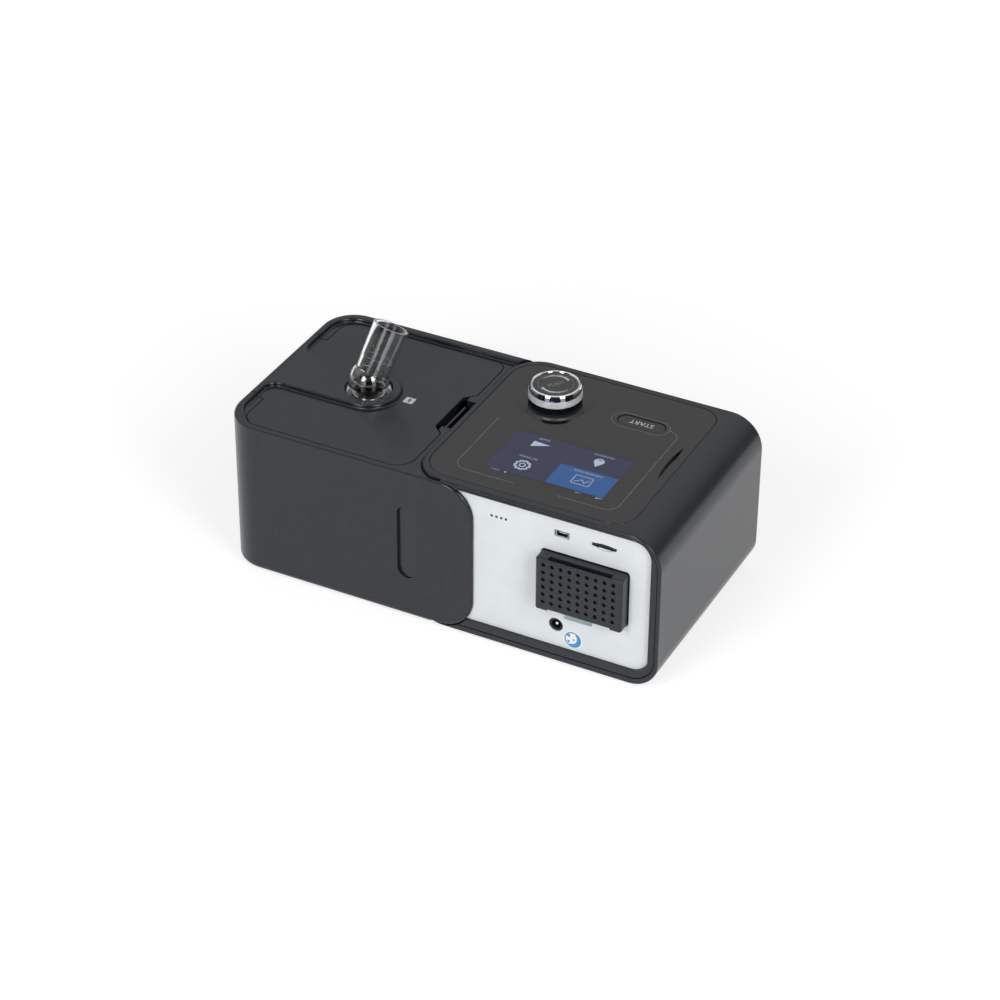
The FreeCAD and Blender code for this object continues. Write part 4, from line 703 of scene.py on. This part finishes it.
def rearDetails():
    # black discs laid on the vent holes: painted shade that makes the holes read dark
    rings = [circle(vents["radius"], vents["points"], (i * vents["pitch"], 0)) for i in range(vents["count"])]
    holeShade = slabMesh("vent_hole_painted_shade", rings, vents["thick"])
    finishPiece(placeOnRear(holeShade, vents["first"], rearFace, vents["z"]), "vent_hole_painted_shade", ink["black"], "main_unit")
    low, high = reader["gap"], reader["gap"] + reader["lip"]
    half, slit = reader["half"], reader["slitHalf"]
    edges = [rect(-half, half, low, high), rect(-half, half, -high, -low),
             rect(-half, -slit, -low, low), rect(slit, half, -low, low)]
    lips = slabMesh("card_reader_lips", edges, reader["depth"])
    placeOnRear(lips, reader["x"], rearFace + reader["depth"] - reader["proud"], reader["z"])
    finishPiece(lips, "card_reader_lips", finishes["inner_black"], "main_unit")
    # a green-grey sheet on the notch floor: painted shade of the recess
    outline = roundedBox((0, 0), notch["length"], notch["height"], notch["corner"], 4)
    pad = slabMesh("finger_notch_painted_shade", [outline], notch["thick"])
    placeOnRear(pad, notch["x"], notch["face"] + notch["thick"], notch["z"])
    finishPiece(pad, "finger_notch_painted_shade", finishes["notch_pad"], "main_unit")


lidMark()
socketDisc()
rearDetails()
print("small marks placed")


# camera
view = {
    "place": (703.08, -1376.97, 1094.77), "aim": (8.30, -2.43, 53.0),   # mm
    "roll": 0.43, "lens": 110.63, "sensor": 36.0,
    "clip": (0.01, 50.0),                                               # metres
}


def placeCamera():
    data = bpy.data.cameras.new("studio_camera")
    data.lens = view["lens"]
    data.sensor_width = view["sensor"]
    data.clip_start, data.clip_end = view["clip"]
    camera = bpy.data.objects.new("studio_camera", data)
    scene.collection.objects.link(camera)
    place, aim = Vector(view["place"]) * mm, Vector(view["aim"]) * mm
    level = (aim - place).to_track_quat("-Z", "Y").to_matrix().to_4x4()
    roll = Matrix.Rotation(math.radians(view["roll"]), 4, "Z")
    camera.matrix_world = Matrix.Translation(place) @ level @ roll
    scene.camera = camera
    return (place - aim).normalized()


# floor: a grey that takes the shadow, and a lift to white for what is seen directly or in a mirror
ground = {
    "size": 6.0, "drop": 0.0002,             # metres, the drop keeps it clear of the feet
    "diffuse": 0.55,
    "nearLift": 0.695, "farLift": 0.99,
    "nearRadius": 0.2, "farRadius": 1.0,     # metres
    "bounce": 0.27,                          # glow that lights the object from below
}


def layFloor():
    work = bmesh.new()
    bmesh.ops.create_grid(work, x_segments=4, y_segments=4, size=ground["size"] / 2)
    mesh = bpy.data.meshes.new("studio_floor")
    work.to_mesh(mesh)
    work.free()
    floor = bpy.data.objects.new("studio_floor", mesh)
    floor.location.z = -ground["drop"]
    scene.collection.objects.link(floor)
    mesh.materials.append(floorMaterial())


def floorMaterial():
    material = bpy.data.materials.new("matt_white_floor")
    material.use_nodes = True
    tree = material.node_tree
    tree.nodes.clear()
    grey = ground["diffuse"]
    matt = addNode(tree, "ShaderNodeBsdfDiffuse", {"Color": (grey, grey, grey, 1.0)})
    path = addNode(tree, "ShaderNodeLightPath")
    seen = addNode(tree, "ShaderNodeMath", links={0: path.outputs["Is Camera Ray"], 1: path.outputs["Is Glossy Ray"]},
                   operation="MAXIMUM")
    seen = addNode(tree, "ShaderNodeMath", links={0: seen.outputs[0], 1: path.outputs["Is Transmission Ray"]},
                   operation="MAXIMUM")
    place = addNode(tree, "ShaderNodeNewGeometry").outputs["Position"]
    away = addNode(tree, "ShaderNodeVectorMath", links={0: place}, operation="LENGTH")
    white = addNode(tree, "ShaderNodeMapRange", {"From Min": ground["nearRadius"], "From Max": ground["farRadius"],
                                                 "To Min": ground["nearLift"], "To Max": ground["farLift"]},
                    {"Value": away.outputs["Value"]})
    lift = addNode(tree, "ShaderNodeMapRange", {"To Min": ground["bounce"]},
                   {"Value": seen.outputs[0], "To Max": white.outputs["Result"]})
    glow = addNode(tree, "ShaderNodeEmission", {"Color": (1, 1, 1, 1)}, {"Strength": lift.outputs[0]})
    both = addNode(tree, "ShaderNodeAddShader", links={0: matt.outputs[0], 1: glow.outputs[0]})
    addNode(tree, "ShaderNodeOutputMaterial", links={"Surface": both.outputs[0]})
    return material


# one tall soft box on each side of the camera, and an even dome for diffuse light
boxes = {
    "turns": (-98.0, -33.0),                 # degrees from +X
    "size": (0.5, 1.0), "power": 10.0,
    "away": 1.4, "height": 0.85, "aimHeight": 0.08,    # metres
    "edge": 0.9816, "inside": 0.9903,        # cosines of half the width of a mirrored box
    "bottom": (0.02, 0.06, 0.0, 1.0),        # from height, to height, from level, to level
    "top": (0.75, 0.71, 0.0, 1.0),
    "level": (0.29, 0.42, 1.2, 11.0),
    "overOne": 1.0001,                       # keeps a root above zero straight overhead
}
dome = {
    "diffuse": 0.24,
    "ceiling": ((0.0, 0.22), (0.26, 0.28), (0.38, 0.46), (0.56, 0.82), (0.85, 1.0)),   # height, level
    "farSide": (0.3, 0.05),                  # share of the way to the camera where the bright room ends
    "behindCamera": 0.05,
}


def hangLamps():
    for i, turn in enumerate(boxes["turns"]):
        data = bpy.data.lights.new("soft_box_%d" % i, "AREA")
        data.shape = "RECTANGLE"
        data.size, data.size_y = boxes["size"]
        data.energy = boxes["power"]
        lamp = bpy.data.objects.new("soft_box_%d" % i, data)
        angle = math.radians(turn)
        place = Vector((boxes["away"] * math.cos(angle), boxes["away"] * math.sin(angle), boxes["height"]))
        aim = Vector((0, 0, boxes["aimHeight"])) - place
        lamp.matrix_world = Matrix.Translation(place) @ aim.to_track_quat("-Z", "Y").to_matrix().to_4x4()
        lamp.visible_camera = False
        lamp.visible_glossy = False
        lamp.visible_transmission = False
        scene.collection.objects.link(lamp)


def mirroredBoxes(tree, way, height):  # the soft boxes as glossy surfaces see them, dimmer towards their lower ends
    squared = addNode(tree, "ShaderNodeMath", {1: 2.0}, {0: height}, operation="POWER")
    across = addNode(tree, "ShaderNodeMath", {0: boxes["overOne"]}, {1: squared.outputs[0]}, operation="SUBTRACT")
    across = addNode(tree, "ShaderNodeMath", {1: 0.5}, {0: across.outputs[0]}, operation="POWER")
    total = None
    for turn in boxes["turns"]:
        side = (math.cos(math.radians(turn)), math.sin(math.radians(turn)), 0.0)
        toward = addNode(tree, "ShaderNodeVectorMath", {1: side}, {0: way}, operation="DOT_PRODUCT")
        turned = addNode(tree, "ShaderNodeMath", links={0: toward.outputs["Value"], 1: across.outputs[0]},
                         operation="DIVIDE")
        inside = addNode(tree, "ShaderNodeMapRange", {"From Min": boxes["edge"], "From Max": boxes["inside"]},
                         {"Value": turned.outputs[0]}).outputs["Result"]
        total = inside if total is None else addNode(tree, "ShaderNodeMath", links={0: total, 1: inside},
                                                     operation="ADD").outputs[0]
    for name in ("bottom", "top", "level"):
        start, stop, low, high = boxes[name]
        span = addNode(tree, "ShaderNodeMapRange",
                       {"From Min": start, "From Max": stop, "To Min": low, "To Max": high}, {"Value": height})
        total = addNode(tree, "ShaderNodeMath", links={0: total, 1: span.outputs["Result"]},
                        operation="MULTIPLY").outputs[0]
    return total


def mirroredRoom(tree, way, height, towardCamera):  # a bright ceiling over a dark horizon, dark behind the camera
    ceiling = addNode(tree, "ShaderNodeValToRGB", links={"Fac": height})
    levels = ceiling.color_ramp.elements
    for i, (position, level) in enumerate(dome["ceiling"]):
        stop = levels[i] if i < 2 else levels.new(position)
        stop.position = position
        stop.color = (level, level, level, 1.0)
    flat = Vector((towardCamera.x, towardCamera.y)).normalized()
    facing = addNode(tree, "ShaderNodeVectorMath", {1: (flat.x, flat.y, 0.0)}, {0: way}, operation="DOT_PRODUCT")
    start, stop = dome["farSide"]
    farSide = addNode(tree, "ShaderNodeMapRange",
                      {"From Min": start, "From Max": stop, "To Min": dome["behindCamera"]},
                      {"Value": facing.outputs["Value"]})
    room = addNode(tree, "ShaderNodeMath", links={0: farSide.outputs["Result"], 1: ceiling.outputs["Color"]},
                   operation="MULTIPLY")
    return room.outputs[0]


def lightWorld(towardCamera):
    world = bpy.data.worlds.new("studio_dome")
    scene.world = world
    world.use_nodes = True
    tree = world.node_tree
    tree.nodes.clear()
    white = (1, 1, 1, 1)
    way = addNode(tree, "ShaderNodeTexCoord").outputs["Generated"]
    height = addNode(tree, "ShaderNodeSeparateXYZ", links={"Vector": way}).outputs["Z"]
    room = mirroredRoom(tree, way, height, towardCamera)
    seen = addNode(tree, "ShaderNodeMath", links={0: room, 1: mirroredBoxes(tree, way, height)}, operation="MAXIMUM")
    path = addNode(tree, "ShaderNodeLightPath")
    studioLight = addNode(tree, "ShaderNodeBackground", {"Color": white}, {"Strength": seen.outputs[0]})
    even = addNode(tree, "ShaderNodeBackground", {"Color": white, "Strength": dome["diffuse"]})
    backdrop = addNode(tree, "ShaderNodeBackground", {"Color": white, "Strength": 1.0})
    mirrored = addNode(tree, "ShaderNodeMath", links={0: path.outputs["Is Glossy Ray"],
                                                      1: path.outputs["Is Transmission Ray"]}, operation="MAXIMUM")
    around = addNode(tree, "ShaderNodeMixShader", links={"Fac": mirrored.outputs[0], 1: even.outputs[0],
                                                         2: studioLight.outputs[0]})
    result = addNode(tree, "ShaderNodeMixShader", links={"Fac": path.outputs["Is Camera Ray"], 1: around.outputs[0],
                                                         2: backdrop.outputs[0]})
    addNode(tree, "ShaderNodeOutputWorld", links={"Surface": result.outputs[0]})


towardCamera = placeCamera()
layFloor()
lightWorld(towardCamera)
hangLamps()
scene.view_settings.view_transform = "Standard"
print("studio ready")
